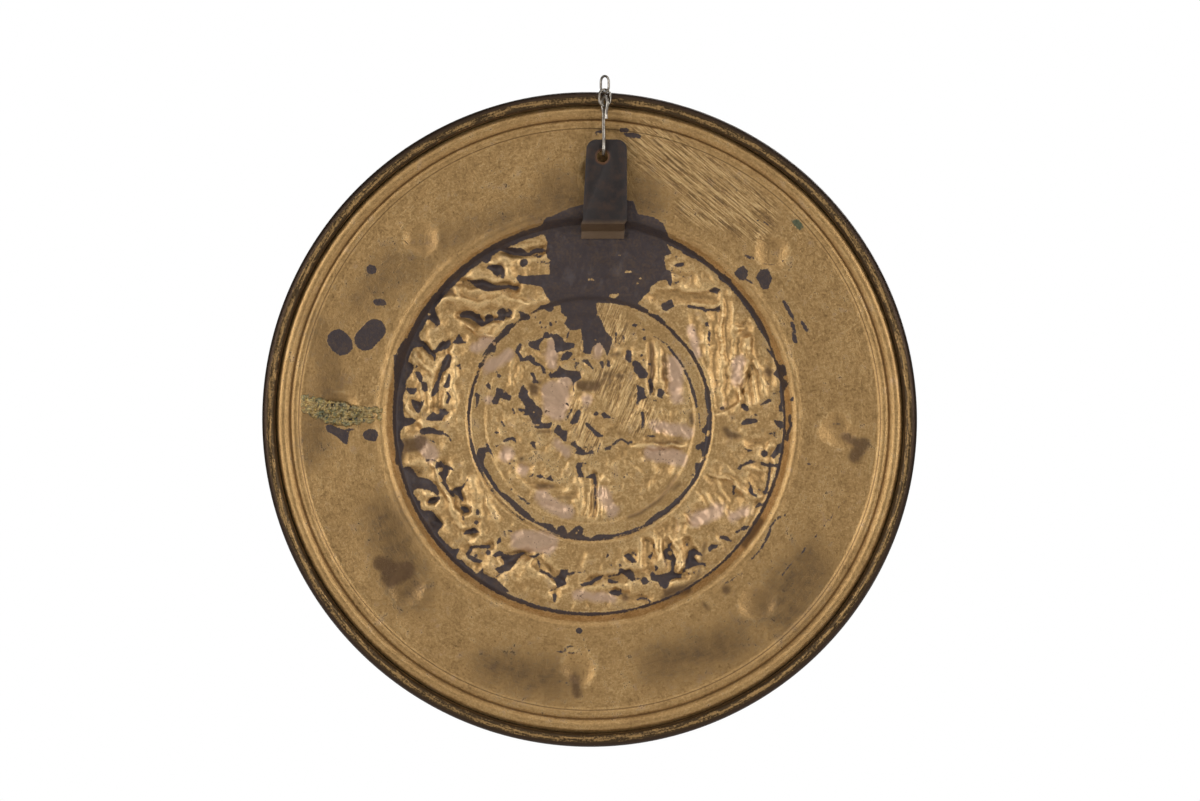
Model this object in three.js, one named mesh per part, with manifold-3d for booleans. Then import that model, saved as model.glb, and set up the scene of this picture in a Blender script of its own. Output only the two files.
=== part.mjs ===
import * as THREE from "three";
import { mergeVertices } from "three/addons/utils/BufferGeometryUtils.js";
import Module from "manifold-3d";

// A round bronze relief, embossed in one sheet and hung by a strap on its back.
// Millimetres. +Z is up, -Y is the back that goes against the wall, +Y is the relief's front,
// and +X is to the right as seen from the back. All pieces are laid out about the middle of
// the dish, and the last group moves them so that the origin is where the chain hangs.

const wasm = await Module();
wasm.setup();

const dishRadius = 200;
const sheetThickness = 1.6;

// Depths of the sheet's middle line, from the plain border towards the front.
const bandDepth = 9;
const mouldingDepth = 12;
const medallionDepth = 12.8;
const wallTopDepth = 0.9;
const shoulderDepth = -0.7;

// Radii of the edges between the zones.
const medallionRadius = 64.4;
const stepFoot = 73.4;
const stepTop = 76.4;
const wallFoot = 119.4;
const wallTop = 124.6;
const shoulderRadius = 127.2;
const borderInner = 131;
const borderOuter = 176.8;

// The sheet's edge is rolled back into an open curl, and its rearmost line meets the wall.
const curlRadius = 3.25;
const curlMiddle = dishRadius - curlRadius - sheetThickness / 2;
const curlDepth = -4.6;
const curlRestAngle = 75;

// Points round the rim, round the figure band and round the steps beside it.
const roundRim = 56;
const roundBand = 90;
const roundStep = 72;

// Bosses in the border, one every 45 degrees.
const bossCount = 8;
const bossRadius = 152;
const bossTurn = 2.3;
const bossHalfWidth = 11.5;
const bossHeight = 2;
// How far its rings of points stand from its middle, and where the points stand round it, in degrees.
const bossRingStep = 7;
const bossPoints = [-13, -4.3, -1.6, 1.6, 4.3, 13];

// Brazed repair across the border at the left.
const seamLeft = -177;
const seamRight = -126;
const seamBack = -2;
const seamFront = 1.2;
const seamStartZ = 11;
const seamDrop = 7;
const seamSag = 4;
const seamHalfAtEnd = 3.6;
const seamBulge = 4.5;
const seamRoughness = 0.9;

// Strap.
const strapThickness = 1.8;
const strapGap = 5.5;
const strapLeft = -1.2;
const strapRight = 23.5;
const strapTop = 171;
const strapCorner = 6;
const footGap = 0.3;
const footLeft = -5;
const footRight = 21.2;
const footEnd = 110.9;
const footBend = 116.2;
const tongueBend = 120.7;
const holeX = 8.6;
const holeZ = 160.7;
const holeRadius = 3.6;

// Hook and chain.
const wireRadius = 1.1;
const linkWire = 0.75;
const linkWidth = 8.5;
const linkLength = 11.4;
const chainX = 10.2;
const chainY = -12.2;
const lowerLinkZ = 196.2;
const upperLinkZ = 204.3;

const degrees = Math.PI / 180;

// Relief. Every form is a swelling of the sheet: a height above 0 stands out at the front and
// is a hollow at the back, and a height below 0 is a ridge at the back.
function falloff(distance) {
  return distance < 1 ? (1 - distance * distance) ** 2 : 0;
}

function dome(x, z, halfX, halfZ, height, turn = 0) {
  const c = Math.cos(turn * degrees);
  const s = Math.sin(turn * degrees);
  return (px, pz) => {
    const u = ((px - x) * c + (pz - z) * s) / halfX;
    const v = ((pz - z) * c - (px - x) * s) / halfZ;
    return height * falloff(Math.hypot(u, v));
  };
}

function ridge(points, halfWidth, height) {
  return (px, pz) => {
    let nearest = Infinity;
    for (let i = 1; i < points.length; i += 1) {
      const [ax, az] = points[i - 1];
      const [bx, bz] = points[i];
      const along = ((px - ax) * (bx - ax) + (pz - az) * (bz - az)) / ((bx - ax) ** 2 + (bz - az) ** 2);
      const t = Math.min(Math.max(along, 0), 1);
      nearest = Math.min(nearest, Math.hypot(px - ax - t * (bx - ax), pz - az - t * (bz - az)));
    }
    return height * falloff(nearest / halfWidth);
  };
}

// A beam carried by columns.
function temple() {
  const forms = [ridge([[42, 75.5], [79, 75.5]], 6.5, 2.2)];
  for (let i = 0; i < 2; i += 1) {
    forms.push(ridge([[77 + 8 * i, 66 + 6 * i], [77 + 8 * i, 6]], 4.6, 2));
  }
  forms.push(dome(58, 88, 14, 6, 1.6, -28));
  forms.push(ridge([[64, 62], [71, 30]], 5, 1.4));
  return forms;
}

// A tall figure in a long robe: head, body and folds that fan out from the shoulder.
function robedFigure() {
  const forms = [
    dome(96, 57, 6, 6, 2.6),
    dome(97, 30, 11, 30, 2.6, 8),
    dome(110, 26, 6, 22, 1.8, -16),
  ];
  for (let i = 0; i < 4; i += 1) {
    forms.push(ridge([[95 + i, 50], [90 + 6 * i, 4 + 4 * i]], 2.6, -1.6));
  }
  return forms;
}

// A seated figure bent over a round-backed beast.
function seatedFigure() {
  return [
    dome(86, -50, 19, 15, 3.4, -40),
    dome(104, -36, 8, 13, 2.6, -12),
    dome(104, -14, 13, 6, 2.2),
    dome(76, -34, 9, 7, 2),
    dome(66, -58, 13, 8, 2.4, 30),
    ridge([[71, -30], [84, -36], [97, -47]], 3, -1.4),
    ridge([[112, -20], [110, -40], [98, -66]], 3.5, 1.6),
  ];
}

// Three walking figures in short tunics, seen from the waist down, on a strip of ground.
function walkers() {
  const forms = [dome(48, -66, 14, 9, 2.6)];
  for (let i = 0; i < 3; i += 1) {
    forms.push(ridge([[36 + 12 * i, -76 + i], [36 + 14 * i, -92 + 2 * i]], 5, 2.6));
  }
  forms.push(ridge([[2, -99], [25, -96], [58, -95]], 4.5, 2.2));
  forms.push(dome(26, -84, 6, 5, 1.8));
  forms.push(ridge([[16, -107], [36, -111]], 4, 1.6));
  return forms;
}

// Hills with a bush of leaves in a ring.
function hills() {
  const forms = [
    dome(-38, -95, 15, 11, -2, 0),
    ridge([[-52, -88], [-46, -84], [-38, -82]], 5, 2.4),
    ridge([[-33, -88], [-17, -99]], 4, 2),
    dome(-20, -106, 5, 6, 1.6),
    dome(-67, -83, 5, 5, 1.4),
  ];
  const leaves = 7;
  for (let i = 0; i < leaves; i += 1) {
    const a = (i / leaves) * 360 * degrees;
    forms.push(dome(-67 + 9 * Math.cos(a), -83 + 8 * Math.sin(a), 4.5, 4.5, i % 2 ? 2.6 : -1.2));
  }
  return forms;
}

// A leaning figure with long limbs at the edge of the trees.
function leaningFigure() {
  return [
    dome(-106, -36, 9, 9, 3),
    dome(-97, -51, 5, 4, 2.4),
    dome(-95, -63, 7, 8, 3, 20),
    dome(-89, -29, 4.5, 8, 2.6),
    ridge([[-96, -27], [-88, -45], [-80, -66]], 4, -2),
    ridge([[-82, -44], [-77, -56]], 4.5, 2.6),
    ridge([[-71, -36], [-69, -58]], 4.5, -1.8),
    ridge([[-62, -46], [-58, -60]], 3.5, -1.6),
    dome(-73, -70, 6, 3.5, 2.2),
  ];
}

// A tree whose leaves hang in lobes between dark hollows.
function tree() {
  const forms = [
    ridge([[-88, 40], [-91, 26], [-94, 8]], 4.5, 2.6),
    ridge([[-102, 46], [-95, 38], [-86, 47]], 4, 2.6),
    dome(-80, 50, 6, 5, 2.4),
    dome(-107, 10, 5, 6, 2.4),
    dome(-92, 4, 7, 5, 2.4),
    dome(-108, -6, 7, 5, 2.4),
  ];
  for (let i = 0; i < 4; i += 1) {
    forms.push(dome(-105 + 4 * (i % 2), 36 - 13 * i, 5.5, 6, -1.8));
  }
  return forms;
}

// Clouds as one long scroll with hollows above and below it.
function clouds() {
  const scroll = [];
  for (let i = 0; i <= 8; i += 1) {
    scroll.push([-92 + 8 * i, 72 + 2.2 * Math.cos((i - 1) * 90 * degrees)]);
  }
  return [
    ridge(scroll, 5, -2.2),
    ridge([[-82, 85], [-64, 82], [-45, 81]], 4.5, 3),
    ridge([[-79, 65], [-67, 60], [-58, 61]], 4.5, 3),
    dome(-50, 65, 6, 5, 2.6),
    dome(-40, 64, 5, 4, 2.2),
    ridge([[-76, 60], [-69, 53], [-60, 52], [-53, 57]], 3.5, -1.8),
    ridge([[-55, 105], [-42, 102], [-28, 105]], 4.5, 2.8),
    dome(-57, 92, 6, 6, 2.8),
    ridge([[-62, 98], [-50, 99], [-47, 84]], 4.5, -1.6),
    dome(-96, 61, 4, 8, 2.2),
    dome(-20, 88, 12, 9, 2),
    dome(10, 92, 14, 8, 2.2),
  ];
}

// The middle scene: low hills, a tree trunk, a table and a draped figure.
function medallionScene() {
  const forms = [
    dome(-53, -22, 8, 7, 2.4),
    dome(-40, -29, 7, 6, 2),
    dome(-27, -42, 20, 7, 2.2, -20),
    dome(-20, 10, 17, 22, 2.4, 20),
    dome(-26, 43, 9, 8, 1.8),
    ridge([[2, -34], [2, -60]], 3.5, 2),
    ridge([[-7, -36], [-5, -58]], 2.8, -1),
    ridge([[28, -16], [57, -16]], 3.2, -1.8),
    dome(46, -30, 10, 12, 1.8),
    dome(52, 18, 6, 9, 2.2),
    dome(18, -30, 15, 12, -1.2),
  ];
  for (let i = 0; i < 3; i += 1) {
    forms.push(ridge([[37 + 4.4 * i, 48 - i], [39 + 4.4 * i, 16]], 2.4, i % 2 ? -1.4 : 2));
  }
  return forms;
}

const bandForms = [
  temple, robedFigure, seatedFigure, walkers, hills, leaningFigure, tree, clouds,
].flatMap((group) => group());
const medallionForms = medallionScene();

const bossForms = [];
for (let i = 0; i < bossCount; i += 1) {
  const a = (bossTurn + (360 / bossCount) * i) * degrees;
  const x = bossRadius * Math.sin(a);
  const z = bossRadius * Math.cos(a);
  bossForms.push(dome(x, z, bossHalfWidth, bossHalfWidth, bossHeight));
}

const carvings = { band: bandForms, medallion: medallionForms, boss: bossForms };

function reliefAt(carving, x, z) {
  return (carvings[carving] ?? []).reduce((sum, form) => sum + form(x, z), 0);
}

// Where the points of a ring stand, in degrees clockwise from the top.
function evenAngles(count) {
  return Array.from({ length: count }, (_, i) => (360 / count) * i);
}

function bossAngles() {
  const all = evenAngles(bossCount).flatMap(
    (a) => bossPoints.map((n) => (a + bossTurn + n + 360) % 360),
  );
  return all.sort((a, b) => a - b);
}

// The sheet's middle line from the centre outwards, as rings: radius, depth, points round,
// the carving it bears, and the face it is left out of where one face needs it less.
function ring(radius, depth, angles, options = {}) {
  return { radius, depth, angles, ...options };
}

function middleLine() {
  const rings = [];
  const medallionRings = 5;
  const sceneRadius = medallionRadius - 7;
  for (let i = 1; i <= medallionRings; i += 1) {
    const radius = sceneRadius * (i / medallionRings);
    rings.push(ring(radius, medallionDepth, evenAngles(8 + 12 * i), { carving: "medallion" }));
  }
  const stepHalfWidth = 0.6;
  rings.push(ring(medallionRadius - stepHalfWidth, medallionDepth, evenAngles(roundStep)));
  rings.push(ring(medallionRadius + stepHalfWidth, mouldingDepth, evenAngles(roundStep)));
  rings.push(ring(stepFoot, mouldingDepth, evenAngles(roundStep)));
  rings.push(ring(stepTop, bandDepth, evenAngles(roundStep)));

  const bandRings = 5;
  for (let i = 1; i <= bandRings; i += 1) {
    const radius = stepTop + (wallFoot - stepTop) * (i / (bandRings + 1));
    rings.push(ring(radius, bandDepth, evenAngles(roundBand), { carving: "band" }));
  }
  rings.push(ring(wallFoot, bandDepth, evenAngles(roundStep)));
  rings.push(ring(wallTop, wallTopDepth, evenAngles(roundStep)));
  rings.push(ring(shoulderRadius, shoulderDepth, evenAngles(roundRim)));
  rings.push(ring(borderInner, 0, evenAngles(roundRim)));
  for (const side of [-1, 0, 1]) {
    const radius = bossRadius + side * bossRingStep;
    rings.push(ring(radius, 0, bossAngles(), { carving: "boss" }));
  }
  rings.push(ring(borderOuter, 0, evenAngles(roundRim)));

  // A small bead, a crease and a large bead, which stand out at the back.
  const beads = [
    [180.2, -1.9], [182.1, -1.4, "front"], [183, -0.8], [184.3, -3.2, "front"],
    [186.6, -5], [189, -4.8], [190.9, -2.9, "front"], [192.4, -1.9, "front"],
  ];
  for (const [radius, depth, leftOutOf] of beads) {
    rings.push(ring(radius, depth, evenAngles(roundRim), { leftOutOf }));
  }

  // The curl runs from the front round the outside and back to its open edge.
  const curl = [
    [110], [40], [0, "back"], [-35], [-curlRestAngle, "back"],
    [curlRestAngle - 180], [-145], [-180],
  ];
  for (const [angle, leftOutOf] of curl) {
    const radius = curlMiddle + curlRadius * Math.cos(angle * degrees);
    const depth = curlDepth + curlRadius * Math.sin(angle * degrees);
    rings.push(ring(radius, depth, evenAngles(roundRim), { leftOutOf }));
  }
  return rings;
}

// One face of the sheet: the middle line moved half a thickness along its normal, with relief.
function sheetFace(line, side) {
  const offset = (side === "front" ? 1 : -1) * sheetThickness / 2;
  const last = line.length - 1;
  return line.map((here, i) => {
    const before = line[Math.max(i - 1, 0)];
    const after = line[Math.min(i + 1, last)];
    const run = after.radius - before.radius;
    const drop = after.depth - before.depth;
    const length = Math.hypot(run, drop);
    const radius = here.radius - (drop / length) * offset;
    const depth = here.depth + (run / length) * offset;
    const points = here.angles.map((angle) => {
      const x = radius * Math.sin(angle * degrees);
      const z = radius * Math.cos(angle * degrees);
      return [x, depth + reliefAt(here.carving, x, z), z];
    });
    return { angles: here.angles, points, leftOutOf: here.leftOutOf };
  }).filter((face) => face.leftOutOf !== side);
}

// A closed body from a centre point, rings in order and a last centre point.
function bodyOfRings(firstPole, rings, lastPole) {
  const positions = [...firstPole];
  const starts = rings.map((r) => {
    const start = positions.length / 3;
    positions.push(...r.points.flat());
    return start;
  });
  const lastIndex = positions.length / 3;
  positions.push(...lastPole);

  const triangles = [];
  const first = rings[0].points.length;
  for (let i = 0; i < first; i += 1) {
    triangles.push(0, starts[0] + (i + 1) % first, starts[0] + i);
  }
  for (let k = 1; k < rings.length; k += 1) {
    triangles.push(...stitch(rings[k - 1].angles, starts[k - 1], rings[k].angles, starts[k]));
  }
  const end = starts[rings.length - 1];
  const count = rings[rings.length - 1].points.length;
  for (let i = 0; i < count; i += 1) {
    triangles.push(lastIndex, end + i, end + (i + 1) % count);
  }
  const geometry = new THREE.BufferGeometry();
  geometry.setAttribute("position", new THREE.Float32BufferAttribute(positions, 3));
  geometry.setIndex(triangles);
  return geometry;
}

// Triangles between two rings whose points stand at different angles.
function stitch(anglesA, startA, anglesB, startB) {
  const triangles = [];
  const countA = anglesA.length;
  const countB = anglesB.length;
  const angleAt = (angles, i) => angles[i % angles.length] + (i >= angles.length ? 360 : 0);
  let i = 0;
  let j = 0;
  while (i < countA || j < countB) {
    const a = startA + (i % countA);
    const b = startB + (j % countB);
    const stepA = j === countB || (i < countA && angleAt(anglesA, i + 1) <= angleAt(anglesB, j + 1));
    if (stepA) {
      triangles.push(b, a, startA + ((i + 1) % countA));
      i += 1;
    } else {
      triangles.push(b, a, startB + ((j + 1) % countB));
      j += 1;
    }
  }
  return triangles;
}

// Solids for joining and cutting.
function solidOf(geometry) {
  const bare = geometry.clone();
  bare.deleteAttribute("normal");
  bare.deleteAttribute("uv");
  const merged = mergeVertices(bare, 1e-4);
  return new wasm.Manifold(new wasm.Mesh({
    numProp: 3,
    vertProperties: new Float32Array(merged.attributes.position.array),
    triVerts: new Uint32Array(merged.index.array),
  }));
}

function geometryOf(solid) {
  const mesh = solid.getMesh();
  const geometry = new THREE.BufferGeometry();
  geometry.setAttribute("position", new THREE.BufferAttribute(mesh.vertProperties, 3));
  geometry.setIndex(new THREE.BufferAttribute(mesh.triVerts, 1));
  return geometry;
}

// An outline in X and Z, given a thickness from one depth to another.
function plate(outline, fromY, toY) {
  const shape = outline instanceof THREE.Shape ? outline : new THREE.Shape(outline);
  const options = { depth: toY - fromY, bevelEnabled: false, curveSegments: 5 };
  const geometry = new THREE.ExtrudeGeometry(shape, options);
  geometry.rotateX(Math.PI / 2);
  geometry.translate(0, toY, 0);
  return geometry;
}

// The brazed repair: a rough band of filler metal right through the sheet, across the border.
function brazedSeam() {
  const steps = 11;
  const upper = [];
  const lower = [];
  for (let i = 0; i <= steps; i += 1) {
    const t = i / steps;
    const x = seamLeft + (seamRight - seamLeft) * t;
    const ragged = i % 2 ? seamRoughness : -seamRoughness;
    const middle = seamStartZ - seamDrop * t - seamSag * Math.sin(Math.PI * t);
    const half = seamHalfAtEnd + seamBulge * Math.sin(Math.PI * Math.min(1, 0.15 + t * 0.85));
    upper.push(new THREE.Vector2(x, middle + half * 0.75 + ragged));
    lower.unshift(new THREE.Vector2(x, middle - half + ragged));
  }
  return plate([...upper, ...lower], seamBack, seamFront);
}

function reliefDish() {
  const line = middleLine();
  const back = sheetFace(line, "back");
  const front = sheetFace(line, "front").reverse();
  const half = sheetThickness / 2;
  const middleRelief = reliefAt("medallion", 0, 0);
  const backPole = [0, medallionDepth - half + middleRelief, 0];
  const frontPole = [0, medallionDepth + half + middleRelief, 0];
  const dish = solidOf(bodyOfRings(backPole, [...back, ...front], frontPole));
  return geometryOf(dish.add(solidOf(brazedSeam())));
}

// Hanging strap, seen from the back as a flat tongue with round top corners and a hole.
// It is bent so that its foot lies on the figure band and its tongue clears the border.
function hangingTab() {
  const footY = bandDepth - sheetThickness / 2 - footGap - strapThickness / 2;
  const tongueY = -sheetThickness / 2 - strapGap - strapThickness / 2;
  const half = strapThickness / 2;
  const past = strapTop + 5;
  const bend = [
    [footEnd, footY - half], [footBend - half, footY - half], [tongueBend - half, tongueY - half],
    [past, tongueY - half], [past, tongueY + half], [tongueBend + half, tongueY + half],
    [footBend + half, footY + half], [footEnd, footY + half],
  ];
  const profile = new THREE.Shape(bend.map(([z, y]) => new THREE.Vector2(y, z)));
  const blankWidth = 40;
  const blankLeft = -10;
  const strap = new THREE.ExtrudeGeometry(profile, { depth: blankWidth, bevelEnabled: false });
  strap.applyMatrix4(new THREE.Matrix4().makeBasis(
    new THREE.Vector3(0, 1, 0), new THREE.Vector3(0, 0, 1), new THREE.Vector3(1, 0, 0),
  ));
  strap.translate(blankLeft, 0, 0);

  const tongueFoot = tongueBend + 1.3;
  const outline = new THREE.Shape();
  outline.moveTo(footLeft, footEnd - 1);
  outline.lineTo(footRight, footEnd - 1);
  outline.lineTo(footRight + 0.6, tongueFoot - 2.5);
  outline.lineTo(strapRight, tongueFoot);
  outline.lineTo(strapRight, strapTop - strapCorner);
  outline.absarc(strapRight - strapCorner, strapTop - strapCorner, strapCorner, 0, Math.PI / 2, false);
  outline.absarc(strapLeft + strapCorner, strapTop - strapCorner, strapCorner, Math.PI / 2, Math.PI, false);
  outline.lineTo(strapLeft - 2.2, tongueFoot);
  outline.lineTo(footLeft + 0.4, tongueFoot - 2.5);
  outline.closePath();
  const hole = new THREE.CylinderGeometry(holeRadius, holeRadius, 12, 20);
  hole.translate(holeX, tongueY, holeZ);
  const cut = solidOf(plate(outline, -20, 20));
  return geometryOf(solidOf(strap).intersect(cut).subtract(solidOf(hole)));
}

// The hook: one wire from its cut end up over the eye, down the shank, through the hole in the
// strap and up behind it.
function wireHook() {
  const eyeTurn = -50 * degrees;
  const strand = 1.3;
  const eye = 2.5;
  const shankX = chainX - strand * Math.cos(eyeTurn);
  const shankY = chainY - strand * Math.sin(eyeTurn);
  const atSide = (offset, z) => new THREE.Vector3(
    chainX + offset * Math.cos(eyeTurn), chainY + offset * Math.sin(eyeTurn), z,
  );
  const path = new THREE.CatmullRomCurve3([
    atSide(strand, 183.5), atSide(strand, 187.2), atSide(eye, 191.6), atSide(eye, 194),
    atSide(0, 196.8),
    atSide(-eye, 194), atSide(-eye, 191.6), atSide(-strand, 187.2),
    new THREE.Vector3(shankX, shankY, 181),
    new THREE.Vector3(9.6, -9.8, 168),
    new THREE.Vector3(9.4, -9.5, 164.4),
    new THREE.Vector3(9.2, -7.2, 162.2),
    new THREE.Vector3(9.2, -4.4, 163),
    new THREE.Vector3(9.2, -3.6, 168),
  ], false, "centripetal");
  return wireAlong(path, wireRadius, 38);
}

function wireAlong(path, radius, steps) {
  const sides = 6;
  const section = new THREE.Shape();
  for (let i = 0; i < sides; i += 1) {
    const a = (i / sides) * 2 * Math.PI;
    const x = radius * Math.cos(a);
    const y = radius * Math.sin(a);
    if (i === 0) section.moveTo(x, y);
    else section.lineTo(x, y);
  }
  section.closePath();
  return new THREE.ExtrudeGeometry(section, { steps, extrudePath: path, bevelEnabled: false });
}

// An oval link: a ring whose upper and lower halves are moved apart.
function chainLink() {
  const ringRadius = linkWidth / 2 - linkWire;
  const geometry = new THREE.TorusGeometry(ringRadius, linkWire, 6, 16);
  geometry.rotateX(Math.PI / 2);
  const position = geometry.attributes.position;
  const stretch = (linkLength - linkWidth) / 2;
  for (let i = 0; i < position.count; i += 1) {
    const z = position.getZ(i);
    position.setZ(i, z + Math.sign(Math.round(z * 1000)) * stretch);
  }
  return geometry;
}

const bronze = new THREE.MeshStandardMaterial({ color: 0xa8875a, roughness: 0.45, metalness: 0.85 });
const darkStrap = new THREE.MeshStandardMaterial({ color: 0x2e2726, roughness: 0.6, metalness: 0.4 });
const steelWire = new THREE.MeshStandardMaterial({ color: 0xb8b0a5, roughness: 0.4, metalness: 0.9 });
const steelChain = new THREE.MeshStandardMaterial({ color: 0xa9a39a, roughness: 0.35, metalness: 0.9 });

function piece(name, geometry, material) {
  const mesh = new THREE.Mesh(geometry, material);
  mesh.name = name;
  return mesh;
}

const lowerLink = piece("chain_link_lower", chainLink(), steelChain);
lowerLink.position.set(chainX, chainY, lowerLinkZ);
lowerLink.rotation.z = 20 * degrees;

const upperLink = piece("chain_link_upper", chainLink(), steelChain);
upperLink.position.set(chainX, chainY, upperLinkZ);
upperLink.rotation.z = -45 * degrees;

const relief = new THREE.Group();
relief.add(
  piece("relief_dish", reliefDish(), bronze),
  piece("hanging_tab", hangingTab(), darkStrap),
  piece("wire_hook", wireHook(), steelWire),
  lowerLink,
  upperLink,
);

// The origin is the inside of the upper link's top, where the chain goes on to its nail.
const hangingPoint = [chainX, chainY, upperLinkZ + linkLength / 2 - 2 * linkWire];
relief.position.set(...hangingPoint.map((v) => -v));

export default relief;
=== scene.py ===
import math

import bpy
import numpy as np
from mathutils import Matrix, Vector


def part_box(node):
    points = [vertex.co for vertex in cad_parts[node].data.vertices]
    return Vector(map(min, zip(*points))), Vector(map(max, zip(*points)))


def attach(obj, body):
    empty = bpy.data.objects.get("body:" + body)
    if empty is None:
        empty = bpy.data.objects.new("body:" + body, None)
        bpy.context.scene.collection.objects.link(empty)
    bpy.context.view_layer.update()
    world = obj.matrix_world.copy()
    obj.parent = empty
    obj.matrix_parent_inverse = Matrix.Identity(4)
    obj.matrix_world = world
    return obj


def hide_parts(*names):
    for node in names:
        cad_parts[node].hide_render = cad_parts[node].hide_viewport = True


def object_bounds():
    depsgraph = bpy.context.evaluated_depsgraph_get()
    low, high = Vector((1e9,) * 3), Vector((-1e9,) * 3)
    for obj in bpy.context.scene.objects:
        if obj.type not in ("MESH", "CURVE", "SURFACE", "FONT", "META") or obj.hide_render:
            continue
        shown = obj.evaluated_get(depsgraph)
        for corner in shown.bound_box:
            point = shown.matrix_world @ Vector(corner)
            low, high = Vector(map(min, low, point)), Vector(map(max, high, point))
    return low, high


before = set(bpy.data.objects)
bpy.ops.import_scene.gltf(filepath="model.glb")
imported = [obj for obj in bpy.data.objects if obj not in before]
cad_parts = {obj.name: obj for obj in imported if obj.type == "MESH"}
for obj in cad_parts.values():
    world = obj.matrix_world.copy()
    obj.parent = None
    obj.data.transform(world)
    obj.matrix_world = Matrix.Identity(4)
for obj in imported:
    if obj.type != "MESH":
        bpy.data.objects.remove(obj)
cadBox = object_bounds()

# A round embossed bronze relief, seen from its hollow back, hung by a strap, a wire hook and a chain.
# Places on the dish are in millimetres from its middle: x to the right, z up, y towards the front.
mm = 0.001

dish = {
    "medallionDepth": 12.8, "mouldingDepth": 12.0, "bandDepth": 9.0,
    "medallionRadius": 64.4, "stepFoot": 73.4, "stepTop": 76.4,
    "wallFoot": 119.4, "wallTop": 124.6, "shoulder": 127.2, "borderInner": 131.0, "borderOuter": 176.8,
    "sheet": 1.6, "curlRadius": 3.25, "curlMiddle": 195.95, "curlDepth": -4.6, "restDepth": -8.49,
    # each zone as the radius where it ends, the spacing of its rings and the points round each ring
    "backZones": [(10, 1.3, 96), (26, 1.2, 224), (62, 1.1, 448), (78, 0.85, 448), (116.5, 1.08, 672),
                  (125, 0.8, 672), (131, 0.95, 448), (176, 2.0, 448), (195, 0.95, 288)],
    "frontZones": [(62, 3.2, 200), (78, 2.2, 200), (117, 3.1, 200), (131, 1.8, 200), (176, 5.0, 200),
                   (194, 1.6, 288)],
    "curlPoints": 288,
}

low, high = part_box("relief_dish")
dishMiddle = Vector(((low.x + high.x) / 2, low.y - dish["restDepth"] * mm, (low.z + high.z) / 2))


def place(x, y, z):
    return dishMiddle + Vector((x, y, z)) * mm


def linear(code):
    parts = [int(code[i:i + 2], 16) / 255 for i in (1, 3, 5)]
    return [v / 12.92 if v <= 0.04045 else ((v + 0.055) / 1.055) ** 2.4 for v in parts] + [1.0]


def selectOnly(piece):
    bpy.ops.object.select_all(action="DESELECT")
    piece.select_set(True)
    bpy.context.view_layer.objects.active = piece


def newPiece(name, vertices, edges=(), faces=()):
    mesh = bpy.data.meshes.new(name)
    mesh.from_pydata([tuple(v) for v in vertices], list(edges), list(faces))
    piece = bpy.data.objects.new(name, mesh)
    bpy.context.scene.collection.objects.link(piece)
    selectOnly(piece)
    return piece


# The sheet's section

def middleLine():
    d = dish
    half = 0.6
    line = [
        (0, d["medallionDepth"]), (d["medallionRadius"] - half, d["medallionDepth"]),
        (d["medallionRadius"] + half, d["mouldingDepth"]), (d["stepFoot"], d["mouldingDepth"]),
        (d["stepTop"], d["bandDepth"]), (d["wallFoot"], d["bandDepth"]), (d["wallTop"], 0.9),
        (d["shoulder"], -0.7), (d["borderInner"], 0), (d["borderOuter"], 0),
        (178.8, -1.3), (180.6, -1.9), (182.1, -1.4), (183.0, -0.8), (184.3, -3.2),
        (186.6, -5.0), (189.0, -4.8), (190.9, -2.9), (192.4, -1.9), (194.84, -1.55),
    ]
    radii, depths = np.array(line).T
    lengths = np.concatenate([[0], np.cumsum(np.hypot(np.diff(radii), np.diff(depths)))])
    even = np.arange(0, lengths[-1], 0.1)
    radii, depths = np.interp(even, lengths, radii), np.interp(even, lengths, depths)
    reach = 14
    window = np.exp(-0.5 * (np.arange(-reach, reach + 1) / 5.0) ** 2)
    depths = np.convolve(np.pad(depths, reach, mode="edge"), window / window.sum(), mode="valid")
    return radii, depths


lineRadii, lineDepths = middleLine()


# One face of the sheet: the outermost points of discs, as thick as the sheet, set along its middle line.
def faceDepth(radius, side):
    half = dish["sheet"] / 2
    near = np.abs(lineRadii - radius) < half
    reach = np.sqrt(half ** 2 - (lineRadii[near] - radius) ** 2)
    depths = lineDepths[near] + side * reach
    return depths.max() if side > 0 else depths.min()


def faceRings(zones, side):
    rings, start = [], 0
    for end, spacing, points in zones:
        count = max(1, round((end - start) / spacing))
        for radius in np.linspace(start, end, count, endpoint=False):
            rings.append((radius, faceDepth(max(radius, 0.01), side), points))
        start = end
    return rings


def curlRings(radius, start, end, count):
    middle, depth = dish["curlMiddle"], dish["curlDepth"]
    rings = []
    for a in np.radians(np.linspace(start, end, count)):
        y = max(depth + radius * math.sin(a), dish["restDepth"])
        rings.append((middle + radius * math.cos(a), y, dish["curlPoints"]))
    return rings


# The whole surface as rings, from the middle of the back round the curl to the middle of the front.
def dishRings():
    d = dish
    half = d["sheet"] / 2
    back = faceRings(d["backZones"], -1) + curlRings(d["curlRadius"] - half, 108, -180, 8)
    back += curlRings(d["curlRadius"] + half, -180, -20, 11)
    front = curlRings(d["curlRadius"] + half, -5, 112, 8) + faceRings(d["frontZones"], 1)[::-1]
    return [ring for ring in back if ring[0] > 0], [ring for ring in front if ring[0] > 0]


# Faces between two rings that may have different numbers of points.
def facesBetween(startA, countA, startB, countB):
    if countA == countB:
        after = [(i + 1) % countA for i in range(countA)]
        return [(startA + i, startA + after[i], startB + after[i], startB + i) for i in range(countA)]
    faces = []
    i = j = 0
    while i < countA or j < countB:
        a, b = startA + i % countA, startB + j % countB
        if j == countB or (i < countA and (i + 1) * countB <= (j + 1) * countA):
            i += 1
            faces.append((a, startA + i % countA, b))
        else:
            j += 1
            faces.append((a, startB + j % countB, b))
    return faces


# Fields over the back: one value for each point of an even grid, in rows of rising z.

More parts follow.
